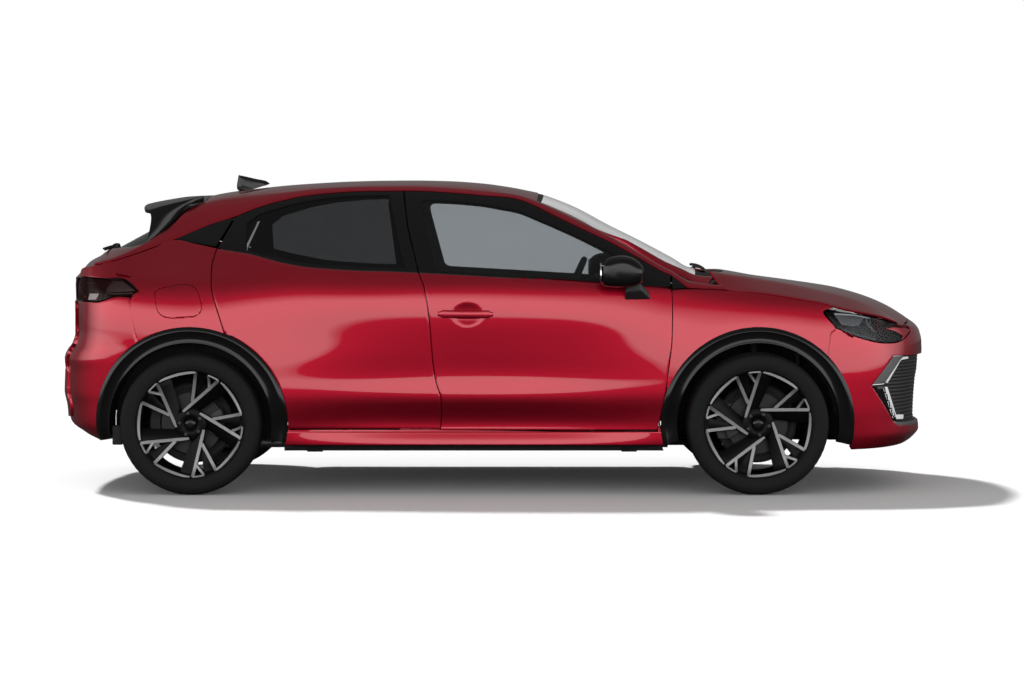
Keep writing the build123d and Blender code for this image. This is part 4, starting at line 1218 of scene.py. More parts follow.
innerLook = {"past": 0.25, "flankLow": 0.28, "flankHigh": 0.44, "noseFrom": 1.7, "tailFrom": -1.75,
             "topFrom": 0.75, "tailIn": 0.022}


def pushIn(points, depth):
    x, y, z = points[:, 0].copy(), points[:, 1].copy(), points[:, 2].copy()
    side = np.sign(y)
    wide = np.abs(y)
    plan = fromSide(np.stack([np.clip(x, -2.05, 2.05), z], -1))
    edge = -roundPoint(plan[:, 0], plan[:, 1])[:, 1]
    middle = (x > bodyEnds["sideStart"] - innerLook["past"]) & (x < bodyEnds["sideEnd"] + innerLook["past"])
    wide = np.where(middle & (edge - wide < depth), edge - depth, wide)
    flank = (z > innerLook["flankLow"]) & (z < innerLook["flankHigh"]) & middle
    wide = np.where(flank, np.minimum(wide, edge - depth), wide)
    ahead = (x > innerLook["noseFrom"]) & ~middle
    behind = (x < innerLook["tailFrom"]) & ~middle
    atY = np.where(ahead, nosePoint(np.clip(fromFront(np.stack([wide, z], -1))[:, 0] - 2, 0, 1), z)[0],
                   tailPoint(fromRear(np.stack([wide, z], -1))[:, 0], z)[0])
    x = np.where(ahead & (atY - x < depth), atY - depth, x)
    x = np.where(behind & (x - atY < depth), atY + depth, x)
    top = topHeight(x, wide)
    z = np.where((top - z < depth) & (z > innerLook["topFrom"]), top - depth, z)
    far = (x < -1.82) & ~middle | (x < -1.92)
    x = np.where(far, x + innerLook["tailIn"], x)
    wide = np.where(far, wide - np.minimum(innerLook["tailIn"], wide), wide)
    return np.stack([x, side * wide, z], -1)


def innerCopy(node, name, body, depth, second, pick):
    obj = bpy.data.objects.new(name, frame["nodes"][node].data.copy())
    scene.collection.objects.link(obj)
    tidyMesh(obj, 0.00002)
    points = np.array([vertex.co for vertex in obj.data.vertices])
    for vertex, spot in zip(obj.data.vertices, pushIn(points, depth)):
        vertex.co = spot
    smoothShade(obj, 30)
    dress(obj, "carPaint", body, "body_paint")
    obj.data.materials.append(materials[second])
    for face in obj.data.polygons:
        if pick(face):
            face.material_index = 1


def insideFace(face):
    outward = face.normal.y * math.copysign(1, face.center.y)
    return outward < -0.35 or abs(face.center.y) < 0.5 or face.center.z < 0.24


def inPillar(face):
    x, z = face.center.x, face.center.z
    return z > 0.985 and -0.60 < x < -0.10 or z > 1.10 and x > -1.34


innerCopy("body_shell", "innerShell", "body", 0.013, "blackMatte",
          lambda face: insideFace(face) or face.center.x > 0.9 or face.center.x < -1.0 or inPillar(face))
for side in ("right", "left"):
    for end in ("front", "rear"):
        innerCopy(f"door_{end}_{side}", f"{end}DoorInner{side.title()}", f"{end}_door_{side}", 0.0115,
                  "cabinPlastic", lambda face: insideFace(face) or face.center.z > 0.99)
print("inner structure ready")


# wheels

def toHub(obj, axle):
    for vertex in obj.data.vertices:
        vertex.co += Vector((wheels[axle], 0, wheels["height"]))


def turnPiece(name, profile, axle, steps):
    deselect()
    bpy.ops.mesh.primitive_plane_add(size=1)
    obj = bpy.context.active_object
    obj.name = name
    mesh = bpy.data.meshes.new(name)
    mesh.from_pydata([(radius, across, 0) for radius, across in profile],
                     [(i, i + 1) for i in range(len(profile) - 1)], [])
    obj.data = mesh
    activate(obj)
    bpy.ops.object.mode_set(mode="EDIT")
    bpy.ops.mesh.select_all(action="SELECT")
    bpy.ops.mesh.spin(steps=steps, angle=2 * math.pi, center=(0, 0, 0), axis=(0, 1, 0))
    bpy.ops.mesh.select_all(action="SELECT")
    bpy.ops.mesh.remove_doubles(threshold=0.00005)
    bpy.ops.mesh.normals_make_consistent(inside=False)
    bpy.ops.object.mode_set(mode="OBJECT")
    toHub(obj, axle)
    return obj


wheelSpots = [("front", "right", -1), ("front", "left", 1), ("rear", "right", -1), ("rear", "left", 1)]
wheelLook = {"y": 0.765, "treadSteps": 180, "treadFrom": 0.3195, "treadHalf": 0.058, "treadLean": 60,
             "treadDeep": 0.0045, "rimSteps": 96, "frontTurn": 31.6}
tyreProfile = [(0.2330, -0.086), (0.2350, -0.094), (0.2420, -0.098), (0.2465, -0.0985), (0.2480, -0.1010),
               (0.2520, -0.1030), (0.2560, -0.1030), (0.2575, -0.1042), (0.2700, -0.1066), (0.2860, -0.1070),
               (0.2920, -0.1058), (0.2940, -0.1060), (0.2960, -0.1050), (0.3040, -0.1028), (0.3110, -0.0985),
               (0.3170, -0.0925), (0.3205, -0.0860), (0.3225, -0.0780), (0.3238, -0.0640), (0.3243, -0.0560),
               (0.3170, -0.0552), (0.3170, -0.0468), (0.3247, -0.0460), (0.3250, -0.0220), (0.3174, -0.0212),
               (0.3174, -0.0128), (0.3250, -0.0120), (0.3250, 0.0)]
tyreProfile += [(radius, -across) for radius, across in tyreProfile[-2::-1]]


def treadCut(obj, axle):
    for vertex in obj.data.vertices:
        place = vertex.co - Vector((wheels[axle], 0, wheels["height"]))
        radius = math.hypot(place.x, place.z)
        across = abs(place.y)
        if radius < wheelLook["treadFrom"]:
            continue
        turn = math.atan2(place.z, place.x) / (2 * math.pi) * wheelLook["treadSteps"]
        lean = across * wheelLook["treadLean"] + (0 if place.y > 0 else 1.5)
        if int(round(turn + lean)) % 3 == 0 and across > wheelLook["treadHalf"]:
            drop = wheelLook["treadDeep"] * min(1, (radius - 0.3175) / 0.004)
            vertex.co -= Vector((place.x, 0, place.z)).normalized() * drop


tyre = turnPiece("tyreFrontRight", tyreProfile, "front", wheelLook["treadSteps"])
treadCut(tyre, "front")
smoothShade(tyre, 40)

rimProfile = [(0.2285, 0.094), (0.2470, 0.104), (0.2485, 0.100), (0.2330, 0.090), (0.2330, -0.092),
              (0.2450, -0.0985), (0.2478, -0.1010), (0.2482, -0.1045), (0.2462, -0.1065),
              (0.2430, -0.1060), (0.2400, -0.1035), (0.2360, -0.0990), (0.2320, -0.0960),
              (0.2290, -0.0930), (0.2265, -0.0820), (0.2235, -0.0600), (0.2180, 0.0200), (0.2200, 0.0800),
              (0.2285, 0.094)]
hubProfile = [(0.0205, -0.030), (0.0205, -0.066), (0.0330, -0.072), (0.0400, -0.0745), (0.0560, -0.0740),
              (0.0700, -0.0700), (0.0760, -0.0620), (0.0740, -0.030), (0.0205, -0.030)]
capProfile = [(0.0002, -0.0830), (0.0100, -0.0832), (0.0190, -0.0822), (0.0235, -0.0795), (0.0245, -0.074),
              (0.0240, -0.066)]


def polar(angle, radius):
    turn = math.radians(angle)
    return np.array([radius * math.cos(turn), radius * math.sin(turn)])


def faceY(point):
    radius = np.linalg.norm(point)
    rise = dish["lipRise"] * min(1, max(0, (radius - dish["lip"]) / dish["lipRise"]))
    return -(dish["flat"] + dish["deep"] * min(1, (radius / dish["radius"])) ** 2 + rise)


def beam(points, widths, depth, twist=(0, 0), proud=0.0):
    # a run of plan points with a width at each, its outer face leaning inward by twist on its two sides
    points = np.asarray(points, float)
    way = np.gradient(points, axis=0)
    way /= np.linalg.norm(way, axis=1)[:, None]
    across = np.stack([-way[:, 1], way[:, 0]], -1)
    vertices, faces = [], []
    for point, side, wide in zip(points, across, widths):
        for sign, lean in ((-1, twist[0]), (1, twist[1])):
            edge = point + side * sign * wide / 2
            outer = faceY(point) + lean - proud
            vertices += [(edge[0], outer, edge[1]), (edge[0], outer + depth, edge[1])]
    for i in range(len(points) - 1):
        a = 4 * i
        faces += [(a, a + 2, a + 6, a + 4), (a + 1, a + 5, a + 7, a + 3), (a, a + 4, a + 5, a + 1),
                  (a + 2, a + 3, a + 7, a + 6)]
    last = 4 * (len(points) - 1)
    faces += [(0, 1, 3, 2), (last, last + 2, last + 3, last + 1)]
    return vertices, faces


def runOf(start, stop, count=5):
    return np.linspace(polar(*start), polar(*stop), count)


spokes = {"corner": (83.4, 0.2400), "joint": (84.5, 0.103), "hub": (121, 0.066), "tip": (56.6, 0.2400),
          "wedgeRim": (69.4, 0.2390), "wedgeEnd": (60.9, 0.183), "edge": 0.0150, "deep": 0.030,
          "crescent": (83.4, 125.5), "bladeWide": 0.060}
dish = {"flat": 0.0790, "deep": 0.0150, "radius": 0.225, "lip": 0.228, "lipRise": 0.0105}


def wheelFace(turn):
    bright, dark = [], []
    for k in range(5):
        def at(spot):
            return (spot[0] + 72 * k + turn, spot[1])
        main = runOf(at(spokes["hub"]), at(spokes["tip"]), 9)
        arm = runOf(at(spokes["joint"]), at(spokes["corner"]), 7)
        wedge = runOf(at(spokes["wedgeEnd"]), at(spokes["wedgeRim"]), 4)
        edge = spokes["edge"]
        bright.append(beam(main, [edge * 0.7] + [edge] * 8, 0.004, proud=0.0016))
        bright.append(beam(arm, [edge] * 7, 0.004, proud=0.0015))
        bright.append(beam(wedge, [edge * 0.8] * 4, 0.004, proud=0.0014))
        angles = np.linspace(spokes["crescent"][0], spokes["crescent"][1], 14)
        crescent = np.array([polar(a + 72 * k + turn, 0.2385 - 0.004 * math.sin(math.pi * t))
                             for a, t in zip(angles, np.linspace(0, 1, 14))])
        bright.append(beam(crescent, 0.007 + 0.009 * np.sin(np.pi * np.linspace(0.08, 0.97, 14)), 0.006,
                           proud=0.0022))
        angles = np.linspace(spokes["tip"][0], spokes["wedgeRim"][0], 5)
        bright.append(beam(np.array([polar(a + 72 * k + turn, 0.2395) for a in angles]), [0.008] * 5, 0.006,
                           proud=0.0020))
        dark.append(beam(main, [edge * 1.2] * 9, spokes["deep"]))
        dark.append(beam(arm, [edge * 1.15] * 7, spokes["deep"]))
        dark.append(beam(wedge, [edge] * 4, spokes["deep"] * 0.6))
        # the broad blade that falls away on the clockwise side of the main edge
        wide = np.linspace(0.034, spokes["bladeWide"], 9)
        way = (main[-1] - main[0]) / np.linalg.norm(main[-1] - main[0])
        side = np.array([way[1], -way[0]])
        blade = main + side[None] * (wide[:, None] / 2 + edge * 0.3)
        blade[-1] -= way * 0.004
        dark.append(beam(blade, wide, 0.010, (0.022, 0.003)))
        pocket = np.linspace((arm[1] + main[3]) / 2, (arm[-1] + wedge[-1]) / 2, 5)
        dark.append(beam(pocket, np.linspace(0.012, 0.062, 5), 0.008, (0.012, 0.012)))
    return bright, dark


def joinedMesh(name, parts):
    vertices, faces, start = [], [], 0
    for some, around in parts:
        vertices += [tuple(v) for v in some]
        faces += [tuple(start + i for i in face) for face in around]
        start += len(some)
    return meshPiece(name, vertices, faces)


def joinUp(pieces, name):
    deselect()
    for piece in pieces:
        piece.select_set(True)
    bpy.context.view_layer.objects.active = pieces[0]
    bpy.ops.object.join()
    pieces[0].name = name
    return pieces[0]


def wheelBolts(turn):
    bolts = []
    for k in range(5):
        spot = polar(72 * k + turn + 30, 0.050)
        deselect()
        bpy.ops.mesh.primitive_cylinder_add(vertices=6, radius=0.0085, depth=0.012,
                                            rotation=(math.pi / 2, 0, 0),
                                            location=(spot[0], -0.0810, spot[1]))
        bolt = bpy.context.active_object
        bpy.ops.object.transform_apply(location=True, rotation=True, scale=True)
        applyModifier(bolt, "BEVEL", width=0.0015, segments=2)
        bolts.append(bolt)
    return bolts


def makeRim(axle, turn):
    bright, dark = wheelFace(turn)
    face = joinedMesh("rimFace", bright)
    faceOut(face, (0, 0.2, 0))
    applyModifier(face, "BEVEL", width=0.0007, segments=1, limit_method="ANGLE")
    black = joinedMesh("rimBlack", dark)
    applyModifier(black, "BEVEL", width=0.0012, segments=2, limit_method="ANGLE")
    for piece in (face, black):
        evenNormals(piece)
        toHub(piece, axle)
    barrel = turnPiece("rimBarrel", rimProfile, axle, wheelLook["rimSteps"])
    hub = turnPiece("rimHub", hubProfile, axle, 48)
    cap = turnPiece("rimCap", capProfile, axle, 40)
    bolts = wheelBolts(turn)
    for bolt in bolts:
        toHub(bolt, axle)
    groups = [([barrel, hub, black], "rimBlack"), ([face], "rimMachined"), (bolts, "castIron"),
              ([cap], "blackGloss")]
    for pieces, finish in groups:
        for piece in pieces:
            piece.data.materials.clear()
            piece.data.materials.append(materials[finish])
            smoothShade(piece, 30)
    return joinUp([piece for pieces, _ in groups for piece in pieces], axle + "Rim")


def wheelPiece(source, axle, side, sign, name, nodes):
    piece = copyOf(source, name)
    shift = wheels[axle] - wheels["front"] if source is tyre else 0
    for vertex in piece.data.vertices:
        vertex.co.x += shift
        vertex.co.y = vertex.co.y * (1 if sign < 0 else -1) + sign * wheelLook["y"]
    if sign > 0:
        piece.data.flip_normals()
    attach(piece, f"wheel_{axle}_{side}")
    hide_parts(*nodes)
    return piece


tyre.data.materials.clear()
tyre.data.materials.append(materials["rubber"])
rims = {"front": makeRim("front", wheelLook["frontTurn"]), "rear": makeRim("rear", 0)}
for axle, side, sign in wheelSpots:
    wheelPiece(tyre, axle, side, sign, f"tyre{axle.title()}{side.title()}", [f"tyre_{axle}_{side}"])
    wheelPiece(rims[axle], axle, side, sign, f"rim{axle.title()}{side.title()}", [f"rim_{axle}_{side}"])
for made in (tyre, *rims.values()):
    bpy.data.objects.remove(made)
print("wheels ready")


# wheel-arch liners and the underside

liner = {"radius": 0.3755, "low": 0.13, "out": 0.862, "thick": 0.003, "turns": 60, "across": 22,
         "ribs": 0.0018}
for axle, inner, span in (("front", 0.468, (-8, 188)), ("rear", 0.592, (-14, 188))):
    angles = np.radians(np.linspace(*span, liner["turns"]))
    across = np.linspace(liner["out"], inner, liner["across"])
    radius = liner["radius"] + liner["ribs"] * (np.arange(liner["across"]) % 4 < 2)
    shell = np.stack([wheels[axle] + radius[None] * np.cos(angles)[:, None],
                      np.repeat(-across[None], liner["turns"], 0),
                      wheels["height"] + radius[None] * np.sin(angles)[:, None]], -1)
    plan = fromSide(np.stack([shell[:, 0, 0], shell[:, 0, 2]], -1))
    edge = -roundPoint(plan[:, 0], plan[:, 1])[:, 1] - 0.016
    shell[:, 0, 1] = -np.minimum(edge, 0.865)
    shell[:, 1, 1] = -np.minimum(edge - 0.010, 0.850)
    reach = np.linspace(liner["radius"], liner["low"], 8)
    wallAngles = np.radians(np.linspace(-12, 192, 50))
    inside = np.stack([wheels[axle] + reach[None] * np.cos(wallAngles)[:, None], np.full((50, 8), -inner),
                       wheels["height"] + reach[None] * np.sin(wallAngles)[:, None]], -1)
    panel(axle + "Liner", [shell, inside], "blackMatte", "body", "black_matte", leftBody="body",
          thick=liner["thick"], edge=0, angle=40)

# the tray under the nose, ribbed across
tray = {"x": (0.86, 1.50, 1.86), "z": (0.226, 0.222, 0.224), "rows": 30, "columns": 16}
along = np.linspace(0, 1, tray["rows"])
xs = np.interp(along, [0, 0.6, 1], tray["x"])
wide = np.interp(along, [0, 0.25, 0.6, 1], [0.44, 0.42, 0.42, 0.48])
height = np.interp(along, [0, 0.6, 1], tray["z"]) + 0.003 * (np.arange(tray["rows"]) % 6 < 2)
across = np.linspace(-1, 1, tray["columns"])
trayGrid = np.stack([np.repeat(xs[:, None], tray["columns"], 1), wide[:, None] * across[None],
                     np.repeat(height[:, None], tray["columns"], 1)], -1)
obj = gridPiece("underTray", [trayGrid])
faceOut(obj)
applyModifier(obj, "SOLIDIFY", thickness=0.004, offset=-1)
smoothShade(obj, 40)
dress(obj, "blackMatte", "body", "black_matte")
print("liners ready")


# lamps

material("lightGuide")
glow = mixColour(noise(40), rgb(0.80, 0.82, 0.84), rgb(0.92, 0.93, 0.95))
finishMaterial(principled(Base_Color=glow, Roughness=0.25, Emission_Color=rgb(1, 1, 1),
                          Emission_Strength=0.22))
plainMaterial("lampGrey", grey(0.34), grey(0.42), 0.34, 5, 500, 0.03, Metallic=0.3)
plainMaterial("lampDark", grey(0.010), grey(0.016), 0.25, 5, 500, 0.03)
material("tailRed")
deepRed = mixColour(noise(60), rgb(0.30, 0.004, 0.006), rgb(0.42, 0.008, 0.010))
finishMaterial(principled(Base_Color=deepRed, Roughness=0.2, Coat_Weight=1.0, Coat_Roughness=0.03))
plainMaterial("trimGrey", grey(0.13), grey(0.17), 0.40, 8, 600, 0.06, Metallic=0.4)

lampLow = mm([(1560, 767), (1619, 739), (1690, 715), (1777, 695), (1856, 693), (1905, 708), (1944, 741)])
lampTop = mm([(1508, 835), (1593, 836), (1700, 819), (1848, 783), (1944, 747)])
lampTip = mm([(1884, 700), (1899, 718), (1880, 731), (1852, 744), (1806, 757), (1850, 764), (1893, 757),
              (1912, 757), (1944, 747), (1944, 741), (1905, 708)])
lampLoop = joinedRuns(evenly(lampLow, 26), evenly(lampTop, 26)[::-1])


def bowl(name, loop, depths, insets, finish, body, slot, replaced=(), view=fromSide):
    # a dish that follows the form: rings of the loop at rising depth, then its floor
    rings = []
    loop = np.asarray(loop, float)
    for depth, inset in zip(depths, insets):
        plan = insetLoop(loop, inset) if inset else loop
        at = view(plan) if view else plan
        points = roundPoint(at[:, 0], at[:, 1])
        ahead = roundPoint(at[:, 0] + 0.002, at[:, 1]) - points
        up = roundPoint(at[:, 0], at[:, 1] + 0.002) - points
        normal = np.cross(ahead, up)
        normal /= np.linalg.norm(normal, axis=1)[:, None]
        normal *= np.sign((normal * (points - bodyCentre)).sum(1))[:, None]
        rings.append(points - normal * depth)
    n = len(loop)
    vertices = np.vstack(rings)
    faces = []
    for k in range(len(rings) - 1):
        for i in range(n):
            j = (i + 1) % n
            faces.append((k * n + i, k * n + j, (k + 1) * n + j, (k + 1) * n + i))
    last = (len(rings) - 1) * n
    half = n // 2
    for i in range(half - 1):
        faces.append((last + i, last + i + 1, last + n - 2 - i, last + n - 1 - i))
    obj = meshPiece(name + "Right", vertices, faces)
    tidyMesh(obj)
    faceOut(obj)
    smoothShade(obj, 35)
    dress(obj, finish, body, slot, *replaced)
    leftCopy(obj, name + "Left", finish, body, slot)


bowl("headlampDish", lampLoop, (0.0005, 0.012, 0.034), (0.0005, 0.004, 0.012), "lampDark", "body",
     "black_gloss", ["headlamps"])
cutPatch("headlampBox", mm([(1552, 829), (1700, 806), (1672, 772), (1640, 769), (1592, 778)]), "lampGrey",
         "body", "lamp_glass", depth=0.012, thick=0.02, leftBody="body", edge=0.003, step=0.012)


def strip(name, line, width, finish, body, slot, depth=0.0, thick=0.006, count=12, edge=0.001, view=fromSide):
    line = evenly(np.asarray(line, float), count, False)
    way = np.gradient(line, axis=0)
    way /= np.linalg.norm(way, axis=1)[:, None]
    side = np.stack([-way[:, 1], way[:, 0]], -1)
    width = np.broadcast_to(np.asarray(width, float), (count,))[:, None]
    plan = np.stack([line + side * width * t for t in (-0.5, 0, 0.5)], 1)
    at = view(plan.reshape(-1, 2)) if view else plan.reshape(-1, 2)
    grid = roundPoint(at[:, 0], at[:, 1]).reshape(count, 3, 3)
    grid = grid - outwardNormals(grid) * depth
    panel(name, [grid], finish, body, slot, leftBody=body, thick=thick, edge=edge)


strip("headlampTopLight", mm([(1560, 830), (1650, 824), (1700, 815), (1780, 799), (1852, 779),
                              (1900, 762)]), 0.006, "lightGuide", "body", "lamp_glass", depth=0.008)
strip("headlampArm", mm([(1714, 806), (1722, 778), (1760, 744), (1795, 706)]), 0.009, "lampGrey", "body",
      "lamp_glass", depth=0.010)
strip("headlampFork", mm([(1724, 779), (1742, 792), (1752, 806)]), 0.007, "lampGrey", "body",
      "lamp_glass", depth=0.010)
strip("headlampSill", mm([(1600, 757), (1690, 725), (1790, 702)]), 0.005, "lampGrey", "body", "lamp_glass",
      depth=0.012)
cutPatch("headlampRecess", mm([(1752, 795), (1800, 787), (1860, 768), (1925, 746), (1890, 738),
                               (1810, 735), (1765, 742), (1748, 760)]), "carPaint", "body", "body_paint",
         depth=0.010, thick=0.01, leftBody="body", edge=0.002, step=0.012)
cutPatch("headlampReflector", mm([(1812, 706), (1825, 724), (1880, 722), (1893, 711)]), "lampGrey", "body",
         "lamp_glass", depth=0.008, thick=0.01, leftBody="body", edge=0.002, step=0.01)
cutPatch("headlampTip", insetLoop(np.array(lampTip), 0.001), "carPaint", "body", "body_paint",
         depth=0.0004, thick=0.005, leftBody="body", edge=0.001, step=0.008)
cutPatch("headlampLens", insetLoop(lampLoop, 0.0012), "lampGlass", "body", "lamp_glass", depth=0.0015,
         thick=0.003, leftBody="body", edge=0, step=0.014)

tailLow = joinedRuns(fromRear([(0.512, 0.878)]),
                     fromSide(mm([(-1960, 882), (-1890, 885), (-1850, 882), (-1804, 886), (-1727, 909),
                                  (-1646, 910)])))
tailTop = joinedRuns(fromRear([(0.512, 0.984)]), fromRear([(0.560, 0.989)]),
                     fromSide(mm([(-1960, 990), (-1876, 989), (-1786, 984), (-1692, 982), (-1622, 928)])))
tailLoop = joinedRuns(evenly(tailLow, 34), evenly(tailTop, 34)[::-1])
bowl("tailLampDish", tailLoop, (0.0005, 0.008, 0.026), (0.0003, 0.002, 0.006), "lampDark", "body",
     "black_gloss", ["tail_lamps"], view=None)
tailBox = mm([(-1872, 981), (-1700, 976), (-1636, 932), (-1770, 925), (-1800, 945), (-1850, 955)])
cutPatch("tailLampBox", tailBox, "lampGrey", "body", "tail_lamp", depth=0.010, thick=0.012, leftBody="body",
         edge=0.003, step=0.012)
cutPatch("tailLampBright", mm([(-1872, 889), (-1862, 918), (-1812, 918), (-1828, 891)]), "lightGuide",
         "body", "tail_lamp", depth=0.003, thick=0.01, leftBody="body", edge=0.002, step=0.01)
strip("tailLampTop", fromSide(mm([(-1890, 968), (-1840, 968)])), 0.006, "lightGuide", "body", "tail_lamp",
      depth=0.006, view=None)
strip("tailLampRed", np.vstack([fromRear([(0.522, 0.965), (0.600, 0.966), (0.680, 0.966)]),
                                fromSide(mm([(-1925, 966)]))]), 0.014, "tailRed", "body", "tail_lamp",
      depth=0.006, view=None)
strip("tailLampRedLow", np.vstack([fromRear([(0.522, 0.905), (0.600, 0.905), (0.680, 0.907)]),
                                   fromSide(mm([(-1925, 912)]))]), 0.022, "tailRed", "body", "tail_lamp",
      depth=0.006, view=None)
strip("tailLampRib", fromSide(mm([(-1800, 922), (-1720, 922), (-1650, 925)])), 0.006, "lampGrey", "body",
      "tail_lamp", depth=0.008, view=None)
lensPlan = patchPlan(evenly(tailLow, 34), evenly(tailTop, 34), evenly(np.array([tailLow[0], tailTop[0]]), 8),
                     evenly(np.array([tailLow[-1], tailTop[-1]]), 8), 0.0008)
lensGrid = roundPoint(lensPlan[..., 0], lensPlan[..., 1])
lensGrid = lensGrid - outwardNormals(lensGrid) * 0.0015
panel("tailLampLens", [lensGrid], "smokedLens", "body", "tail_lamp", leftBody="body", thick=0.003, edge=0)
print("lamps ready")


# front mouth: mesh, facets and light strips

mouth = {"columns": 120, "rows": 40, "depth": 0.022, "cell": 0.0028}
mouthLow = joinedRuns(fromSide(mm([(1846, 330), (1881, 304), (1940, 304)])),
                      fromFront([(0.42, 0.305), (0.2, 0.306), (0, 0.306)]))
mouthTop = joinedRuns(fromSide(mm([(1846, 630), (1951, 626)])),
                      fromFront([(0.38, 0.626), (0.2, 0.626), (0, 0.626)]))
mouthLeft = fromSide(evenly(mm([(1846, 330), (1733, 497), (1846, 630)]), mouth["rows"], False))
mouthPlan = patchPlan(evenly(mouthLow, mouth["columns"]), evenly(mouthTop, mouth["columns"]), mouthLeft,
                      evenly(lineAt((3.0, 0.306), (3.0, 0.626)), mouth["rows"]), 0)
mouthGrid = roundPoint(mouthPlan[..., 0], mouthPlan[..., 1])
i, j = np.meshgrid(np.arange(mouth["columns"]), np.arange(mouth["rows"]), indexing="ij")
weave = ((i + j) % 4 < 2) ^ ((i - j) % 4 < 2)
mouthGrid = mouthGrid - outwardNormals(mouthGrid) * (mouth["depth"] - mouth["cell"] * weave[..., None])
mouthGrid[-1, :, 1] = 0
panel("grilleMesh", [mouthGrid], "blackSatin", "body", "black_gloss", ["grille"], half=True, thick=0.006,
      edge=0, angle=30)
cutPatch("cornerUpperFacet", mm([(1845, 628), (1737, 500), (1800, 506), (1884, 611), (1905, 626)]),
         "trimGrey", "body", "black_gloss", depth=0.003, thick=0.016, leftBody="body", edge=0.002,
         step=0.012)
cutPatch("cornerLowerFacet", mm([(1736, 494), (1846, 331), (1872, 313), (1862, 345), (1800, 487)]),
         "blackGloss", "body", "black_gloss", depth=0.004, thick=0.016, leftBody="body", edge=0.002,
         step=0.012)
strip("cornerLightUpper", mm([(1934, 617), (1888, 614), (1813, 508)]), 0.010, "lightGuide", "body",
      "lamp_glass", depth=0.004, thick=0.012, count=14)
strip("cornerLightLower", mm([(1806, 484), (1858, 345)]), 0.024, "lightGuide", "body", "lamp_glass",
      depth=0.004, thick=0.012)
strip("cornerLightFoot", mm([(1858, 345), (1912, 341)]), 0.020, "lightGuide", "body", "lamp_glass",
      depth=0.005, thick=0.012)
strip("cornerLine", mm([(1738, 499), (1800, 502)]), 0.005, "chrome", "body", "black_gloss", depth=0.002,
      thick=0.006)
strip("cornerBrow", mm([(1846, 628), (1900, 627)]), 0.005, "chrome", "body", "black_gloss", depth=0.003,
      thick=0.006)
strip("cornerFoot", mm([(1850, 318), (1885, 308), (1960, 306), (2010, 308)]), 0.020, "trimGrey", "body",
      "black_gloss", depth=0.000, thick=0.015, edge=0.003)
print("mouth ready")


# mirrors, handles, fin and rear wiper

def loftPiece(name, rings, finish, body, slot, replaced=(), edge=0.0):
    n = len(rings[0])
    vertices = np.vstack(rings)
    faces = [(k * n + i, k * n + (i + 1) % n, (k + 1) * n + (i + 1) % n, (k + 1) * n + i)
             for k in range(len(rings) - 1) for i in range(n)]
    faces += [tuple(range(n))[::-1], tuple(range((len(rings) - 1) * n, len(rings) * n))]
    obj = meshPiece(name, vertices, faces)
    tidyMesh(obj)
    if edge:
        softEdge(obj, edge, 3, 35)
    smoothShade(obj, 40)
    return dress(obj, finish, body, slot, *replaced)


def sideRing(outline, y, centre, scale, count=48):
    outline = evenly(np.vstack([outline, outline[:1]]), count + 1)[:-1]
    points = centre + (outline - centre) * scale
    return np.column_stack([points[:, 0], np.full(len(points), y), points[:, 1]])


mirror = {"centre": np.array([0.590, 1.020]), "in": -0.868, "out": -0.989}
mirrorOutline = mm([(484, 1057), (505, 1078), (534, 1091), (581, 1096), (622, 1088), (657, 1067), (680, 1037),
                    (683, 1005), (672, 972), (640, 957), (590, 950), (519, 952), (488, 966), (481, 1010)])
# (y, scale) from the inner face round to the outer one
mirrorRings = [(mirror["in"], 0.80), (-0.873, 0.90), (-0.884, 0.97), (-0.905, 1.0), (-0.935, 0.99),
               (-0.960, 0.94), (-0.976, 0.85), (-0.986, 0.70), (mirror["out"], 0.45)]
mirrorSkin = [sideRing(np.array(mirrorOutline), y, mirror["centre"], scale) for y, scale in mirrorRings]
cap = loftPiece("mirrorShellRight", mirrorSkin, "blackGloss", "front_door_right", "black_gloss",
                ["mirror_right"])
armRings = []
for t in np.linspace(0, 1, 7):
    y = -0.840 - 0.045 * t
    low, high = 0.880 + 0.045 * t, 0.930 + 0.048 * t
    x0, x1 = 0.598 - 0.004 * t, 0.722 - 0.050 * t
    armRings.append(np.array([(x0, y, low), (x1, y, low + 0.008), (x1 - 0.012, y, high),
                              (x0 + 0.018, y, high + 0.004)]))
arm = loftPiece("mirrorArmRight", armRings, "blackSatin", "front_door_right", "black_gloss", edge=0.006)
glassRing = np.array([(0.4835, -0.890, 0.975), (0.4835, -0.962, 0.978), (0.4835, -0.972, 1.020),
                      (0.4835, -0.955, 1.058), (0.4835, -0.900, 1.056), (0.4835, -0.882, 1.020)])
glassRing = np.column_stack([np.full(36, 0.4815), *evenly(np.vstack([glassRing, glassRing[:1]])[:, 1:],
                                                          37)[:-1].T])
mirrorGlass = loftPiece("mirrorGlassRight", [glassRing, glassRing + np.array([0.006, 0, 0])], "chrome",
                        "front_door_right", "dark_glass")
indicatorLine = np.column_stack([[0.484, 0.505, 0.545, 0.575, 0.600],
                                 [-0.972, -0.9745, -0.9770, -0.9780, -0.9780],
                                 [1.048, 1.050, 1.040, 1.020, 1.006]])
indicator = tube("mirrorLineRight", [tuple(p) for p in indicatorLine], 0.0024, "lampGrey", "front_door_right",
                 "lamp_glass")
for piece, slotName in ((cap, "black_gloss"), (arm, "black_gloss"), (mirrorGlass, "dark_glass"),
                        (indicator, "lamp_glass")):
    leftCopy(piece, piece.name.replace("Right", "Left"), piece.data.materials[0].name, "front_door_left",
             slotName, *(["mirror_left"] if piece is cap else []))

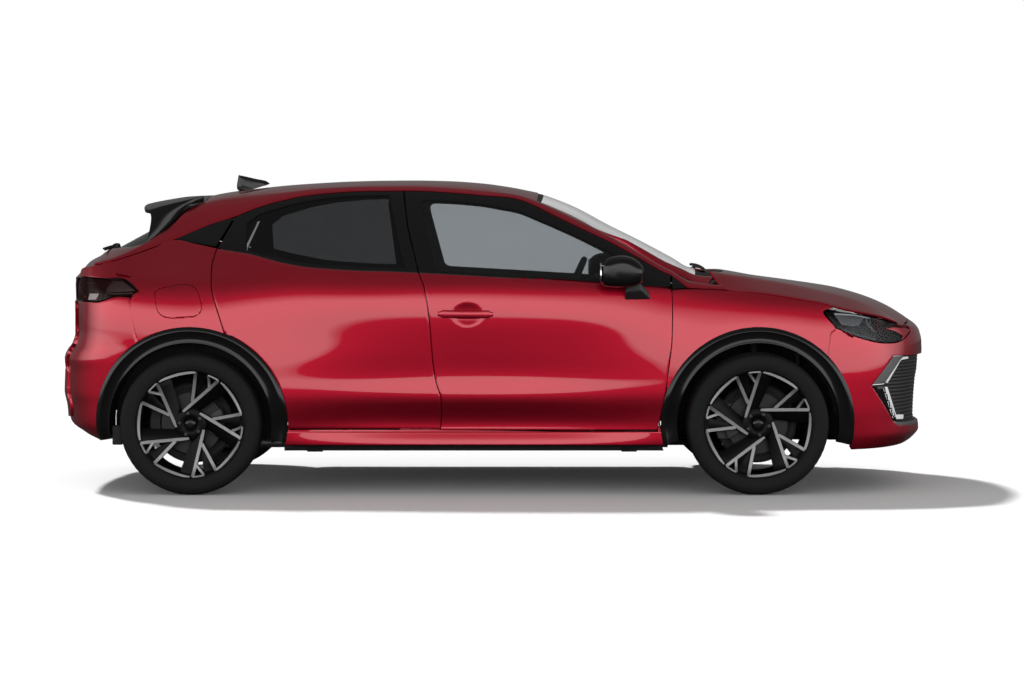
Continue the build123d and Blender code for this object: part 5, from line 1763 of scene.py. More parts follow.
handle = {"start": (-0.255, 0.829), "stop": (-0.001, 0.827), "tall": 0.038}
line = lineAt(handle["start"], handle["stop"], 24)
lift = 0.0135 * np.sin(np.linspace(0.15, math.pi - 0.15, 24)) ** 0.35
tall = handle["tall"] * np.clip(np.sin(np.linspace(0.03, math.pi - 0.03, 24)) * 4, 0.55, 1)
plan = np.stack([line + np.array([0, 1]) * (tall * t)[:, None] for t in np.linspace(-0.5, 0.5, 7)], 1)
at = fromSide(plan.reshape(-1, 2))
grid = roundPoint(at[:, 0], at[:, 1]).reshape(24, 7, 3)
grid[..., 1] -= lift[:, None] * (1 - 0.25 * np.linspace(-1, 1, 7)[None] ** 2)
panel("doorHandle", [grid], "carPaint", "front_door_right", "body_paint", leftBody="front_door_left",
      thick=0.011, edge=0.004)

finSide = mm([(-1092, 1436), (-1112, 1450), (-1160, 1460), (-1238, 1477), (-1246, 1470), (-1240, 1400)])
finCentre = np.array([-1.165, 1.41])
finScales = [(-0.021, 0.72), (-0.019, 0.82), (-0.012, 0.94), (0, 1.0), (0.012, 0.94), (0.019, 0.82),
             (0.021, 0.72)]
finRings = [sideRing(np.array(finSide), y, finCentre, scale, 40) for y, scale in finScales]
loftPiece("roofFin", finRings, "blackGloss", "body", "black_gloss", ["roof_antenna"])

hub = np.array([-1.846, 0, float(topHeight(-1.846, 0))])
podSide = np.array([(-1.872, 1.108), (-1.868, 1.128), (-1.848, 1.146), (-1.826, 1.146), (-1.820, 1.128),
                    (-1.824, 1.112)])
podScales = [(-0.028, 0.55), (-0.024, 0.85), (-0.012, 1.0), (0.012, 1.0), (0.024, 0.85), (0.028, 0.55)]
podRings = [sideRing(podSide, y, podSide.mean(0), scale, 30) for y, scale in podScales]
loftPiece("rearWiperPod", podRings, "blackSatin", "tailgate_lid", "black_matte", ["rear_wiper"])
rearArm = [(-1.845, -0.010, 1.135), (-1.846, -0.10, 1.134), (-1.847, -0.22, 1.130), (-1.848, -0.36, 1.123)]
tube("rearWiperArm", rearArm, 0.005, "blackSatin", "tailgate_lid", "black_matte")
tube("rearWiperBlade", [(x + 0.006, y, z - 0.006) for x, y, z in rearArm[1:]], 0.004, "rubber",
     "tailgate_lid", "black_matte")
print("mirrors and small parts ready")


# cabin

def roundedBox(name, size, centre, edge, finish, body, slot, tilt=0, steps=3):
    deselect()
    bpy.ops.mesh.primitive_cube_add(size=1)
    obj = bpy.context.active_object
    obj.name = name
    obj.scale = size
    bpy.ops.object.transform_apply(location=False, rotation=False, scale=True)
    bpy.ops.object.mode_set(mode="EDIT")
    bpy.ops.mesh.select_all(action="SELECT")
    bpy.ops.mesh.bevel(offset=edge, segments=steps, affect="EDGES", clamp_overlap=True)
    bpy.ops.object.mode_set(mode="OBJECT")
    obj.rotation_euler = (0, math.radians(tilt), 0)
    obj.location = centre
    bpy.ops.object.transform_apply(location=True, rotation=True, scale=False)
    smoothShade(obj, 40)
    return dress(obj, finish, body, slot)


def cabinBox(name, size, centre, edge, finish="cabinPlastic", tilt=0, steps=3, body="body"):
    return roundedBox(name, size, centre, edge, finish, body, "cabin_plastic", tilt, steps)


def acrossPiece(name, outline, low, high, edge, finish, body, slot=None, replaced=(), rounding=0.0):
    outline = roundedLoop(outline, rounding, 4) if rounding else outline
    obj = sideCutter(outline, low, high)
    obj.name = name
    softEdge(obj, edge, 3, 35)
    smoothShade(obj, 40)
    return dress(obj, finish, body, slot, *replaced)


# the cover is woven in the middle and smooth on the bolsters, with a stitch along each seam
material("seatCover")
bolster = Sock.node("ShaderNodeAttribute", {"attribute_name": "bolster"}, out=2)
seamNear = Sock.node("ShaderNodeAttribute", {"attribute_name": "seam"}, out=2)
weave = waves(95.0, bands_direction="Y") * waves(95.0, bands_direction="DIAGONAL")
hide = noise(420, 4.0)
dashes = waves(48.0, bands_direction="DIAGONAL") > 0.42
stitch = (seamNear > 0.34) * (seamNear < 0.56) * dashes
woven = mixColour(weave * 0.8 + noise(30) * 0.4, grey(0.022, (1, 1, 1.05)), grey(0.085, (1, 1, 1.05)))
smooth = mixColour(noise(9), grey(0.020), grey(0.034))
cover = mixColour(stitch, mixColour(bolster, woven, smooth), grey(0.30))
finishMaterial(principled(Base_Color=cover, Roughness=0.82 - bolster * 0.34 - seamNear * 0.05,
                          Sheen_Weight=0.25, Sheen_Roughness=0.5,
                          Normal=bump(weave * (1 - bolster) + hide * bolster * 0.5 + stitch, 0.35,
                                      0.0012)))

padLook = {"cuts": 22, "square": 7, "voxel": 0.0150, "benchVoxel": 0.020, "swell": 0.010, "pressure": 4.0,
           "frames": 20, "groove": 0.0065}


def padPiece(name, size, shape, seams, voxel):
    # a rounded block is given its shape, swollen as stuffed cloth, then sewn along its seams
    deselect()
    bpy.ops.mesh.primitive_cube_add(size=2)
    obj = bpy.context.active_object
    obj.name = name
    bpy.ops.object.mode_set(mode="EDIT")
    bpy.ops.mesh.select_all(action="SELECT")
    bpy.ops.mesh.subdivide(number_cuts=padLook["cuts"])
    bpy.ops.object.mode_set(mode="OBJECT")
    points = np.array([vertex.co for vertex in obj.data.vertices])
    points /= (np.abs(points) ** padLook["square"]).sum(1, keepdims=True) ** (1 / padLook["square"])
    points = shape(points) * np.array(size) / 2
    obj.data.vertices.foreach_set("co", points.ravel())
    applyModifier(obj, "REMESH", mode="VOXEL", voxel_size=voxel)
    swell(obj)
    applyModifier(obj, "SUBSURF", levels=1, render_levels=1)
    mesh = obj.data
    points = np.array([vertex.co for vertex in mesh.vertices])
    normals = np.array([vertex.normal for vertex in mesh.vertices])
    near, padded = seams(points / np.array(size) * 2, np.array(size) / 2, normals)
    closeness = np.exp(-(near / padLook["groove"]) ** 2)
    points -= normals * (closeness * padLook["groove"])[:, None]
    mesh.vertices.foreach_set("co", points.ravel())
    for word, values in (("seam", closeness), ("bolster", padded)):
        mesh.attributes.new(word, "FLOAT", "POINT").data.foreach_set("value", np.asarray(values, np.float32))
    mesh.update()
    smoothShade(obj, 80)
    return obj


def swell(obj):
    before = np.array([vertex.co for vertex in obj.data.vertices])
    activate(obj)
    cloth = obj.modifiers.new("cloth", "CLOTH")
    cloth.settings.use_pressure = True
    cloth.settings.uniform_pressure_force = padLook["pressure"]
    cloth.settings.effector_weights.gravity = 0
    cloth.settings.quality = 4
    cloth.point_cache.frame_start = 1
    cloth.point_cache.frame_end = padLook["frames"]
    for step in range(1, padLook["frames"] + 1):
        scene.frame_set(step)
    depsgraph = bpy.context.evaluated_depsgraph_get()
    swollen = obj.evaluated_get(depsgraph)
    after = np.empty(len(before) * 3)
    swollen.data.vertices.foreach_get("co", after)
    move = after.reshape(-1, 3) - before
    far = np.linalg.norm(move, axis=1, keepdims=True)
    move *= np.minimum(1, padLook["swell"] / np.maximum(far, 1e-9))
    obj.modifiers.remove(cloth)
    obj.data.vertices.foreach_set("co", (before + move).ravel())
    scene.frame_set(1)


def putAt(obj, centre, tilt=0):
    activate(obj)
    obj.rotation_euler = (0, math.radians(tilt), 0)
    obj.location = centre
    bpy.ops.object.transform_apply(location=True, rotation=True, scale=False)
    return obj


def ramp(value, low, high):
    t = np.clip((value - low) / (high - low), 0, 1)
    return t * t * (3 - 2 * t)


def cushionShape(p):
    x, y, z = p[:, 0].copy(), p[:, 1].copy(), p[:, 2].copy()
    up = ramp(z, -0.2, 0.6)
    z += up * (0.42 * ramp(np.abs(y), 0.52, 0.86) - 0.30 * ramp(x, 0.45, 1.0) ** 2 + 0.16
               * ramp(-x, 0.3, 1.0))
    z += (1 - ramp(z, -0.9, 0.1)) * 0.30 * ramp(np.abs(x), 0.5, 1)
    y = y * (1 - 0.10 * ramp(-z, 0, 1)) * (1 - 0.04 * ramp(x, 0.4, 1))
    return np.stack([x, y, z], -1)


def backShape(p):
    x, y, z = p[:, 0].copy(), p[:, 1].copy(), p[:, 2].copy()
    front = ramp(x, -0.2, 0.6)
    bolster = ramp(np.abs(y), 0.50, 0.84) * ramp(-np.abs(z + 0.2), -1.05, -0.2)
    x += front * (0.75 * bolster + 0.30 * ramp(-np.abs(z + 0.45), -0.5, 0) - 0.25 * ramp(z, 0.4, 1))
    x += (1 - front) * 0.18 * ramp(np.abs(y), 0.5, 1)
    y = y * (1 - 0.20 * ramp(z, 0.30, 1.0)) * (1 - 0.08 * ramp(-z, 0.4, 1.0))
    return np.stack([x, y, z], -1)


def headShape(p):
    x, y, z = p[:, 0].copy(), p[:, 1].copy(), p[:, 2].copy()
    y = y * (1 - 0.16 * ramp(-z, -0.2, 1.0))
    x = x * (1 - 0.22 * ramp(z, 0.1, 1.0)) + 0.20 * z
    return np.stack([x, y, z], -1)


def linesNear(value, places):
    return np.min([np.abs(value - place) for place in places], axis=0)


def cushionSeams(p, half, n):
    top = n[:, 2] > 0.25
    side = np.abs(np.abs(p[:, 1]) - 0.56) * half[1]
    channels = np.where((np.abs(p[:, 1]) < 0.56) & top, linesNear(p[:, 0], (-0.55, -0.18, 0.19, 0.56))
                        * half[0], 1)
    border = np.abs(p[:, 2] - 0.42) * half[2] + np.where(top & (np.abs(p[:, 0]) < 0.9), 1, 0)
    near = np.minimum(np.where(top, side, 1), np.minimum(channels, border))
    return near, ramp(np.abs(p[:, 1]), 0.55, 0.57)


def backSeams(p, half, n):
    front = n[:, 0] > 0.2
    side = np.abs(np.abs(p[:, 1]) - 0.52 + 0.08 * ramp(p[:, 2], 0.2, 1)) * half[1]
    inner = np.abs(p[:, 1]) < 0.52
    channels = np.where(inner & front, linesNear(p[:, 2], (-0.66, -0.38, -0.10, 0.18, 0.46)) * half[2], 1)
    yoke = np.where(front, np.abs(p[:, 2] - 0.70) * half[2], 1)
    around = np.abs(p[:, 0] + 0.15) * half[0] + np.where(np.abs(p[:, 1]) < 0.7, 1, 0) * (p[:, 2] < 0.8)
    near = np.min([np.where(front, side, 1), channels, yoke, around], axis=0)
    return near, np.maximum(ramp(np.abs(p[:, 1]), 0.51, 0.53),
                            np.maximum(ramp(p[:, 2], 0.69, 0.71), 1.0 * ~front))


def headSeams(p, half, n):
    side = np.abs(np.abs(p[:, 1]) - 0.62) * half[1]
    return np.where(n[:, 0] > -0.3, side, 1), np.ones(len(p))


def benchShape(p):
    x, y, z = p[:, 0].copy(), p[:, 1].copy(), p[:, 2].copy()
    hollow = np.minimum(np.abs(np.abs(y) - 0.58) / 0.40, 1)
    z += ramp(z, -0.2, 0.6) * (0.30 * ramp(hollow, 0.4, 1.0) - 0.30 * ramp(x, 0.5, 1.0) ** 2)
    return np.stack([x, y, z], -1)


def benchBackShape(p):
    x, y, z = p[:, 0].copy(), p[:, 1].copy(), p[:, 2].copy()
    hollow = np.minimum(np.abs(np.abs(y) - 0.58) / 0.40, 1)
    x += ramp(x, -0.2, 0.6) * (0.40 * ramp(hollow, 0.4, 1.0) - 0.30 * ramp(z, 0.4, 1))
    y = y * (1 - 0.08 * ramp(z, 0.5, 1.0))
    return np.stack([x, y, z], -1)


def benchSeams(p, half, n):
    top = n[:, 2] > 0.25
    near = np.where(top, linesNear(p[:, 1], (-0.93, -0.24, 0.24, 0.93)) * half[1], 1)
    seat = (np.abs(np.abs(p[:, 1]) - 0.585) < 0.345) & top
    near = np.minimum(near, np.where(seat, linesNear(p[:, 0], (-0.5, -0.1, 0.3)) * half[0], 1))
    return near, 1.0 - ramp(0.345 - np.abs(np.abs(p[:, 1]) - 0.585), 0, 0.01) * (p[:, 0] < 0.7)


def benchBackSeams(p, half, n):
    front = n[:, 0] > 0.2
    near = np.where(front, linesNear(p[:, 1], (-0.93, -0.24, 0.24, 0.93)) * half[1], 1)
    seat = (np.abs(np.abs(p[:, 1]) - 0.585) < 0.345) & front
    near = np.minimum(near, np.where(seat, linesNear(p[:, 2], (-0.5, -0.15, 0.2, 0.6)) * half[2], 1))
    return near, 1.0 - ramp(0.345 - np.abs(np.abs(p[:, 1]) - 0.585), 0, 0.01) * (p[:, 2] < 0.6)


def softPiece(obj, centre, tilt, node=None):
    putAt(obj, centre, tilt)
    dress(obj, "seatCover", "body", "seat_fabric", *([node] if node else []))


seatPlace = {"y": 0.350, "cushion": (-0.005, 0.470), "back": (-0.325, 0.745), "backTilt": -18,
             "head": (-0.425, 1.080), "headTilt": -12}
cushion = padPiece("seatCushionRight", (0.500, 0.440, 0.100), cushionShape, cushionSeams, padLook["voxel"])
backRest = padPiece("seatBackRight", (0.085, 0.430, 0.500), backShape, backSeams, padLook["voxel"])
headRest = padPiece("headRestRight", (0.070, 0.235, 0.135), headShape, headSeams, 0.008)
for sign, side in ((-1, "Right"), (1, "Left")):
    y = sign * seatPlace["y"]
    for source, name, (x, z), tilt, node in (
            (cushion, "seatCushion", seatPlace["cushion"], 0, "front_seats"),
            (backRest, "seatBack", seatPlace["back"], seatPlace["backTilt"], None),
            (headRest, "headRest", seatPlace["head"], seatPlace["headTilt"], None)):
        softPiece(copyOf(source, name + side + "Pad"), (x, y, z), tilt, node)
    cabinBox(f"seatPlinth{side}", (0.40, 0.34, 0.075), (-0.01, y, 0.375), 0.02)
    for k, post in enumerate((-0.05, 0.05)):
        bottom = np.array([-0.352, y + post, 0.930])
        tube(f"headPost{side}{k}", [bottom + np.array([-0.23, 0, 1]) * 0.10 * t for t in (0, 0.5, 1)],
             0.006, "chrome", "body", "cabin_plastic")
        roundedBox(f"seatRail{side}{k}", (0.56, 0.045, 0.030), (-0.02, y + 3.3 * post, 0.245), 0.008,
                   "castIron", "body", "chassis")
        roundedBox(f"seatLeg{side}{k}", (0.34, 0.028, 0.110), (-0.01, y + 3.3 * post, 0.305), 0.006,
                   "castIron", "body", "chassis")
    valance = [(-0.270, 0.350), (0.215, 0.350), (0.235, 0.400), (0.180, 0.425), (-0.180, 0.450),
               (-0.300, 0.520), (-0.335, 0.470)]
    edges = sorted((y + sign * 0.232, y + sign * 0.218))
    acrossPiece(f"seatValance{side}", valance, edges[0], edges[1], 0.004, "cabinPlastic", "body",
                "cabin_plastic", rounding=0.03)
    cabinBox(f"seatBuckle{side}", (0.030, 0.022, 0.075), (-0.235, y - sign * 0.235, 0.535), 0.006, tilt=-15)
for source in (cushion, backRest, headRest):
    bpy.data.objects.remove(source)
bench = padPiece("benchCushion", (0.470, 1.130, 0.110), benchShape, benchSeams, padLook["benchVoxel"])
softPiece(bench, (-0.768, 0, 0.485), 0, "rear_bench")
benchBack = padPiece("benchBack", (0.095, 1.130, 0.450), benchBackShape, benchBackSeams,
                     padLook["benchVoxel"])
softPiece(benchBack, (-1.040, 0, 0.775), -18)
restForm = padPiece("benchRest", (0.060, 0.215, 0.090), headShape, headSeams, 0.008)
for k, y in enumerate((-0.355, 0, 0.355)):
    softPiece(copyOf(restForm, f"benchRest{k}"), (-1.118, y, 1.045), -12)
bpy.data.objects.remove(restForm)
print("seats ready")

dash = {"half": 0.632, "tiltWheel": 24, "wheel": (0.370, 0.350, 0.900), "wheelRadius": 0.182}
dashSide = mm([(940, 880), (935, 905), (860, 935), (740, 952), (640, 955), (585, 945), (564, 915),
               (570, 878), (592, 868), (592, 812), (572, 800), (562, 770), (572, 735), (640, 705),
               (780, 690), (930, 700)])
acrossPiece("dashTop", dashSide, -dash["half"], dash["half"], 0.012, "cabinPlastic", "body", "cabin_plastic",
            ["dashboard"], rounding=0.012)
cabinBox("dashBand", (0.012, 1.20, 0.038), (0.586, 0, 0.838), 0.005, "cabinGrey")
cabinBox("dashBandLine", (0.013, 1.18, 0.004), (0.5845, 0, 0.838), 0.001, "chrome")
for k, y in enumerate((-0.545, -0.145, 0.145, 0.545)):
    wide = 0.15 if abs(y) > 0.3 else 0.11
    cabinBox(f"ventFrame{k}", (0.016, wide, 0.052), (0.577, y, 0.770), 0.006, "blackGloss")
    for j in range(5):
        cabinBox(f"ventSlat{k}_{j}", (0.012, wide - 0.014, 0.0035), (0.5665, y, 0.752 + 0.009 * j), 0.001,
                 tilt=20)
    cabinBox(f"ventTab{k}", (0.010, 0.012, 0.014), (0.5615, y, 0.770), 0.003, "chrome")
cabinBox("gloveBox", (0.020, 0.400, 0.130), (0.600, -0.400, 0.760 - 0.075), 0.012, tilt=28)
cabinBox("gloveLatch", (0.012, 0.060, 0.016), (0.590, -0.400, 0.722), 0.004, "cabinGrey", tilt=28)
plainMaterial("screenGlass", rgb(0.004, 0.005, 0.007), rgb(0.006, 0.008, 0.012), 0.08, 6, 300, 0.01)
plainMaterial("screenLit", rgb(0.02, 0.05, 0.09), rgb(0.03, 0.09, 0.15), 0.25, 14, 300, 0.01)
cabinBox("screenBody", (0.016, 0.235, 0.160), (0.515, -0.010, 0.915), 0.006, "blackGloss", tilt=-8)
cabinBox("screenFace", (0.004, 0.222, 0.148), (0.506, -0.010, 0.914), 0.001, "screenGlass", tilt=-8)
for k in range(4):
    cabinBox(f"screenTile{k}", (0.002, 0.040, 0.030), (0.5035, -0.085 + 0.050 * k, 0.925), 0.0008,
             "screenLit", tilt=-8)
cabinBox("screenStand", (0.07, 0.120, 0.050), (0.555, -0.010, 0.868), 0.012)
cabinBox("climatePanel", (0.030, 0.210, 0.048), (0.560, 0, 0.690), 0.008, "blackGloss", tilt=20)
for k in range(7):
    cabinBox(f"climateKey{k}", (0.010, 0.022, 0.013), (0.541, -0.081 + 0.027 * k, 0.684), 0.003,
             "cabinGrey", tilt=20)
hoodSide = mm([(620, 945), (575, 985), (520, 1000), (488, 990), (498, 972), (525, 930), (570, 905)])
acrossPiece("clusterHood", hoodSide, 0.225, 0.475, 0.010, "cabinPlastic", "body", "cabin_plastic",
            rounding=0.01)
cabinBox("clusterFace", (0.010, 0.225, 0.075), (0.506, 0.350, 0.955), 0.004, "screenGlass", tilt=-18)
for k, y in enumerate((0.300, 0.400)):
    deselect()
    bpy.ops.mesh.primitive_torus_add(major_radius=0.027, minor_radius=0.002, major_segments=48,
                                     minor_segments=8)
    dial = bpy.context.active_object
    dial.name = f"clusterDial{k}"
    smoothShade(dial, 60)
    putAt(dial, (0.5005, y, 0.9565), 72)
    dress(dial, "chrome", "body", "cabin_plastic")

stackSide = mm([(640, 700), (560, 700), (545, 660), (520, 600), (440, 548), (-60, 548), (-190, 540),
                (-205, 500), (-205, 226), (640, 226)])
acrossPiece("console", stackSide, -0.095, 0.095, 0.014, "cabinPlastic", "body", "cabin_plastic",
            rounding=0.03)
cabinBox("consoleTop", (0.42, 0.150, 0.012), (0.210, 0, 0.551), 0.005, "blackGloss")
cabinBox("armRest", (0.240, 0.150, 0.060), (-0.090, 0, 0.580), 0.022, steps=5)
cabinBox("gearGate", (0.110, 0.060, 0.008), (0.290, 0, 0.559), 0.003, "cabinGrey")
tube("gearStick", [(0.290, 0, 0.555), (0.287, 0, 0.600), (0.282, 0, 0.640)], 0.008, "chrome", "body",
     "cabin_plastic")
cabinBox("gearKnob", (0.045, 0.042, 0.070), (0.280, 0, 0.655), 0.018, tilt=-8, steps=5)
for k, x in enumerate((0.110, 0.195)):
    deselect()
    bpy.ops.mesh.primitive_cylinder_add(radius=0.036, depth=0.012, vertices=48)
    cup = bpy.context.active_object
    cup.name = f"cupHolder{k}"
    bpy.ops.object.mode_set(mode="EDIT")
    bpy.ops.mesh.select_all(action="DESELECT")
    bpy.ops.object.mode_set(mode="OBJECT")
    for face in cup.data.polygons:
        face.select = face.normal.z > 0.9
    bpy.ops.object.mode_set(mode="EDIT")
    bpy.ops.mesh.select_mode(type="FACE")
    bpy.ops.mesh.inset(thickness=0.004)
    bpy.ops.transform.translate(value=(0, 0, -0.010))
    bpy.ops.object.mode_set(mode="OBJECT")
    smoothShade(cup, 40)
    putAt(cup, (x, 0, 0.5575))
    dress(cup, "blackGloss", "body", "cabin_plastic")

wheelAt = Vector(dash["wheel"])
lean = math.radians(dash["tiltWheel"])
axisBack = Vector((-math.cos(lean), 0, math.sin(lean)))
axisUp = Vector((math.sin(lean), 0, math.cos(lean)))


def onWheel(side, up, back=0.0):
    return wheelAt + Vector((0, side, 0)) + axisUp * up + axisBack * back


deselect()
bpy.ops.mesh.primitive_torus_add(major_radius=dash["wheelRadius"], minor_radius=0.0145, major_segments=96,
                                 minor_segments=20)
rimRing = bpy.context.active_object
rimRing.name = "steeringRim"
for vertex in rimRing.data.vertices:
    angle = math.atan2(vertex.co.y, -vertex.co.x)
    grip = 1 + 0.14 * math.exp(-((abs(math.degrees(angle)) - 68) / 12) ** 2)
    around = Vector((vertex.co.x, vertex.co.y, 0)).normalized() * dash["wheelRadius"]
    vertex.co = around + (vertex.co - around) * grip
smoothShade(rimRing, 80)
putAt(rimRing, wheelAt, -(90 - dash["tiltWheel"]))
dress(rimRing, "cabinPlastic", "steering", "cabin_plastic", "steering_wheel")
hubRings = []
for scale, back in ((0.55, 0.030), (0.85, 0.027), (0.97, 0.018), (1.0, 0.005), (0.95, -0.020), (0.8, -0.032)):
    turn = np.linspace(0, 2 * math.pi, 49)[:-1]
    wide = 0.072 * np.sign(np.cos(turn)) * np.abs(np.cos(turn)) ** 0.6
    tall = 0.052 * np.sign(np.sin(turn)) * np.abs(np.sin(turn)) ** 0.6
    hubRings.append(np.array([onWheel(w * scale, h * scale - 0.004, back) for w, h in zip(wide, tall)]))
loftPiece("steeringHub", hubRings, "cabinPlastic", "steering", "cabin_plastic")
wheelArms = [("Left", (0.060, 0.004), (0.176, 0.010), 0.034),
             ("Right", (-0.060, 0.004), (-0.176, 0.010), 0.034), ("Low", (0, -0.045), (0, -0.176), 0.040)]
# (across, back) around a spoke's section
spokeSection = [(-1, 0.006), (-0.8, 0.012), (0.8, 0.012), (1, 0.006), (1, -0.004), (-1, -0.004)]
for name, start, stop, wide in wheelArms:
    start, stop = np.array(start), np.array(stop)
    way = (stop - start) / np.linalg.norm(stop - start)
    sideways = np.array([-way[1], way[0]])
    rings = []
    for t in np.linspace(0, 1, 6):
        middle = start + (stop - start) * t
        half = wide / 2 * (1.15 - 0.45 * math.sin(math.pi * t))
        rings.append(np.array([onWheel(*(middle + sideways * a * half), b - 0.010 * t)
                               for a, b in spokeSection]))
    loftPiece(f"steeringSpoke{name}", rings, "cabinGrey" if name == "Low" else "blackGloss", "steering",
              "cabin_plastic", edge=0.002)
for k, (side, up) in enumerate(((0.100, 0.010), (0.122, 0.012), (-0.100, 0.010), (-0.122, 0.012))):
    key = cabinBox(f"steeringKey{k}", (0.006, 0.016, 0.018), (0, 0, 0), 0.002, "cabinGrey", body="steering")
    putAt(key, onWheel(side, up, 0.012), 90 - dash["tiltWheel"] - 90)
shroud = [onWheel(0, -0.006, -0.045), onWheel(0, -0.010, -0.150), onWheel(0, -0.012, -0.320)]
tube("columnShroud", [tuple(p) for p in shroud], 0.036, "cabinPlastic", "body", "cabin_plastic", sides=8)
for name, sign in (("Left", 1), ("Right", -1)):
    stalk = [onWheel(0, 0, -0.075), onWheel(sign * 0.07, 0.010, -0.072), onWheel(sign * 0.155, 0.022, -0.062)]
    tube(f"columnStalk{name}", [tuple(p) for p in stalk], 0.0075, "cabinPlastic", "body", "cabin_plastic")
print("dashboard ready")


# brakes, axles, engine bay and exhaust

def reface(finish, *nodes):
    for node in nodes:
        for spot in frame["nodes"][node].material_slots:
            spot.material = materials[finish]


brakes = {"shield": 0.182, "caliperIn": 0.088, "caliperOut": 0.152}
# (radius, distance from the middle of the car)
shieldRings = [(0.060, 0.735), (0.150, 0.735), (0.160, 0.741), (0.176, 0.741), (brakes["shield"], 0.747),
               (0.184, 0.747), (0.178, 0.737), (0.158, 0.736), (0.060, 0.731)]
material("discSteel")
turned = waves(60.0, wave_type="RINGS", rings_direction="Y")
finishMaterial(principled(Base_Color=mixColour(noise(14), grey(0.025), grey(0.045)), Metallic=0.9,
                          Roughness=0.42, Normal=bump(turned, 0.08, 0.0004)))
reface("discSteel", *[f"brake_disc_{end}_{side}" for end in ("front", "rear") for side in ("right", "left")])
reface("castIron", "knuckle_front_right", "knuckle_front_left")
reface("chassisDark", "rear_axle", "front_suspension")
for axle in ("front", "rear"):
    at = np.array([wheels[axle], wheels["height"]])
    turn = np.radians(np.linspace(0, 360, 61))[:-1]
    rings = [np.column_stack([at[0] + radius * np.cos(turn), np.full(60, -y), at[1] + radius * np.sin(turn)])
             for radius, y in shieldRings]
    shield = loftPiece(axle + "BrakeShieldRight", rings, "chassisDark",
                       "upright_right" if axle == "front" else "body", "chassis")
    span = np.radians(np.linspace(152, 208, 9) if axle == "front" else np.linspace(-28, 28, 9))
    arcOut = at + brakes["caliperOut"] * np.column_stack([np.cos(span), np.sin(span)])
    arcIn = at + brakes["caliperIn"] * np.column_stack([np.cos(span), np.sin(span)])[::-1]
    caliper = acrossPiece(axle + "CaliperRight", np.vstack([arcOut, arcIn]), -0.815, -0.745, 0.006,
                          "castIron", "upright_right" if axle == "front" else "body", "chassis")
    for piece in (shield, caliper):
        leftCopy(piece, piece.name.replace("Right", "Left"), piece.data.materials[0].name,
                 "upright_left" if axle == "front" else "body", "chassis")

reface("steel", "exhaust")
reface("castIron", "engine")
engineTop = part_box("engine")[1][2]
coverSide = [(1.080, engineTop), (1.470, engineTop), (1.455, engineTop + 0.035), (1.110, engineTop + 0.045)]
acrossPiece("engineCover", coverSide, -0.240, 0.270, 0.012, "cabinPlastic", "body", "engine")
for k in range(6):
    roundedBox(f"coverRib{k}", (0.300, 0.014, 0.010), (1.280, -0.160 + 0.070 * k, engineTop + 0.0425), 0.003,
               "cabinPlastic", "body", "engine", tilt=1.6)
roundedBox("batteryBox", (0.180, 0.240, 0.190), (1.180, 0.480, 0.735), 0.012, "cabinPlastic", "body",
           "chassis")
roundedBox("batteryLid", (0.184, 0.244, 0.022), (1.180, 0.480, 0.838), 0.006, "blackSatin", "body", "chassis")
roundedBox("airBox", (0.230, 0.200, 0.130), (1.400, 0.470, 0.730), 0.020, "cabinPlastic", "body", "chassis")
tube("airHose", [(1.400, 0.380, 0.770), (1.390, 0.330, 0.830), (1.360, 0.290, 0.862),
                 (1.300, 0.200, 0.868)], 0.024, "rubber", "body", "engine", sides=6)
plainMaterial("tankPlastic", grey(0.42), grey(0.50), 0.45, 20, 900, 0.1)
roundedBox("coolantTank", (0.150, 0.130, 0.110), (1.140, -0.480, 0.790), 0.026, "tankPlastic", "body",
           "chassis", steps=5)
for name, spot, radius in (("coolantCap", (1.140, -0.480, 0.855), 0.028),
                           ("washerCap", (1.420, -0.500, 0.800), 0.022),
                           ("oilCap", (1.180, -0.120, engineTop + 0.050), 0.024)):
    deselect()
    bpy.ops.mesh.primitive_cylinder_add(vertices=32, radius=radius, depth=0.020)
    piece = bpy.context.active_object
    piece.name = name
    applyModifier(piece, "BEVEL", width=0.003, segments=2, limit_method="ANGLE")
    smoothShade(piece, 40)
    putAt(piece, spot)
    dress(piece, "blackSatin", "body", "engine")
tube("washerNeck", [(1.420, -0.500, 0.560), (1.425, -0.505, 0.680), (1.420, -0.500, 0.795)], 0.014,
     "cabinPlastic", "body", "chassis")
for k, side in enumerate((-1, 1)):
    tube(f"radiatorHose{k}", [(1.480, side * 0.210, 0.700), (1.560, side * 0.250, 0.730),
                              (1.640, side * 0.280, 0.690), (1.700, side * 0.290, 0.640)], 0.019,
         "rubber", "body", "engine", sides=6)
roundedBox("radiator", (0.055, 1.000, 0.400), (1.730, 0, 0.520), 0.010, "chassisDark", "body", "chassis")
roundedBox("radiatorBar", (0.060, 1.080, 0.050), (1.735, 0, 0.745), 0.012, "blackSatin", "body", "chassis")
print("running gear ready")


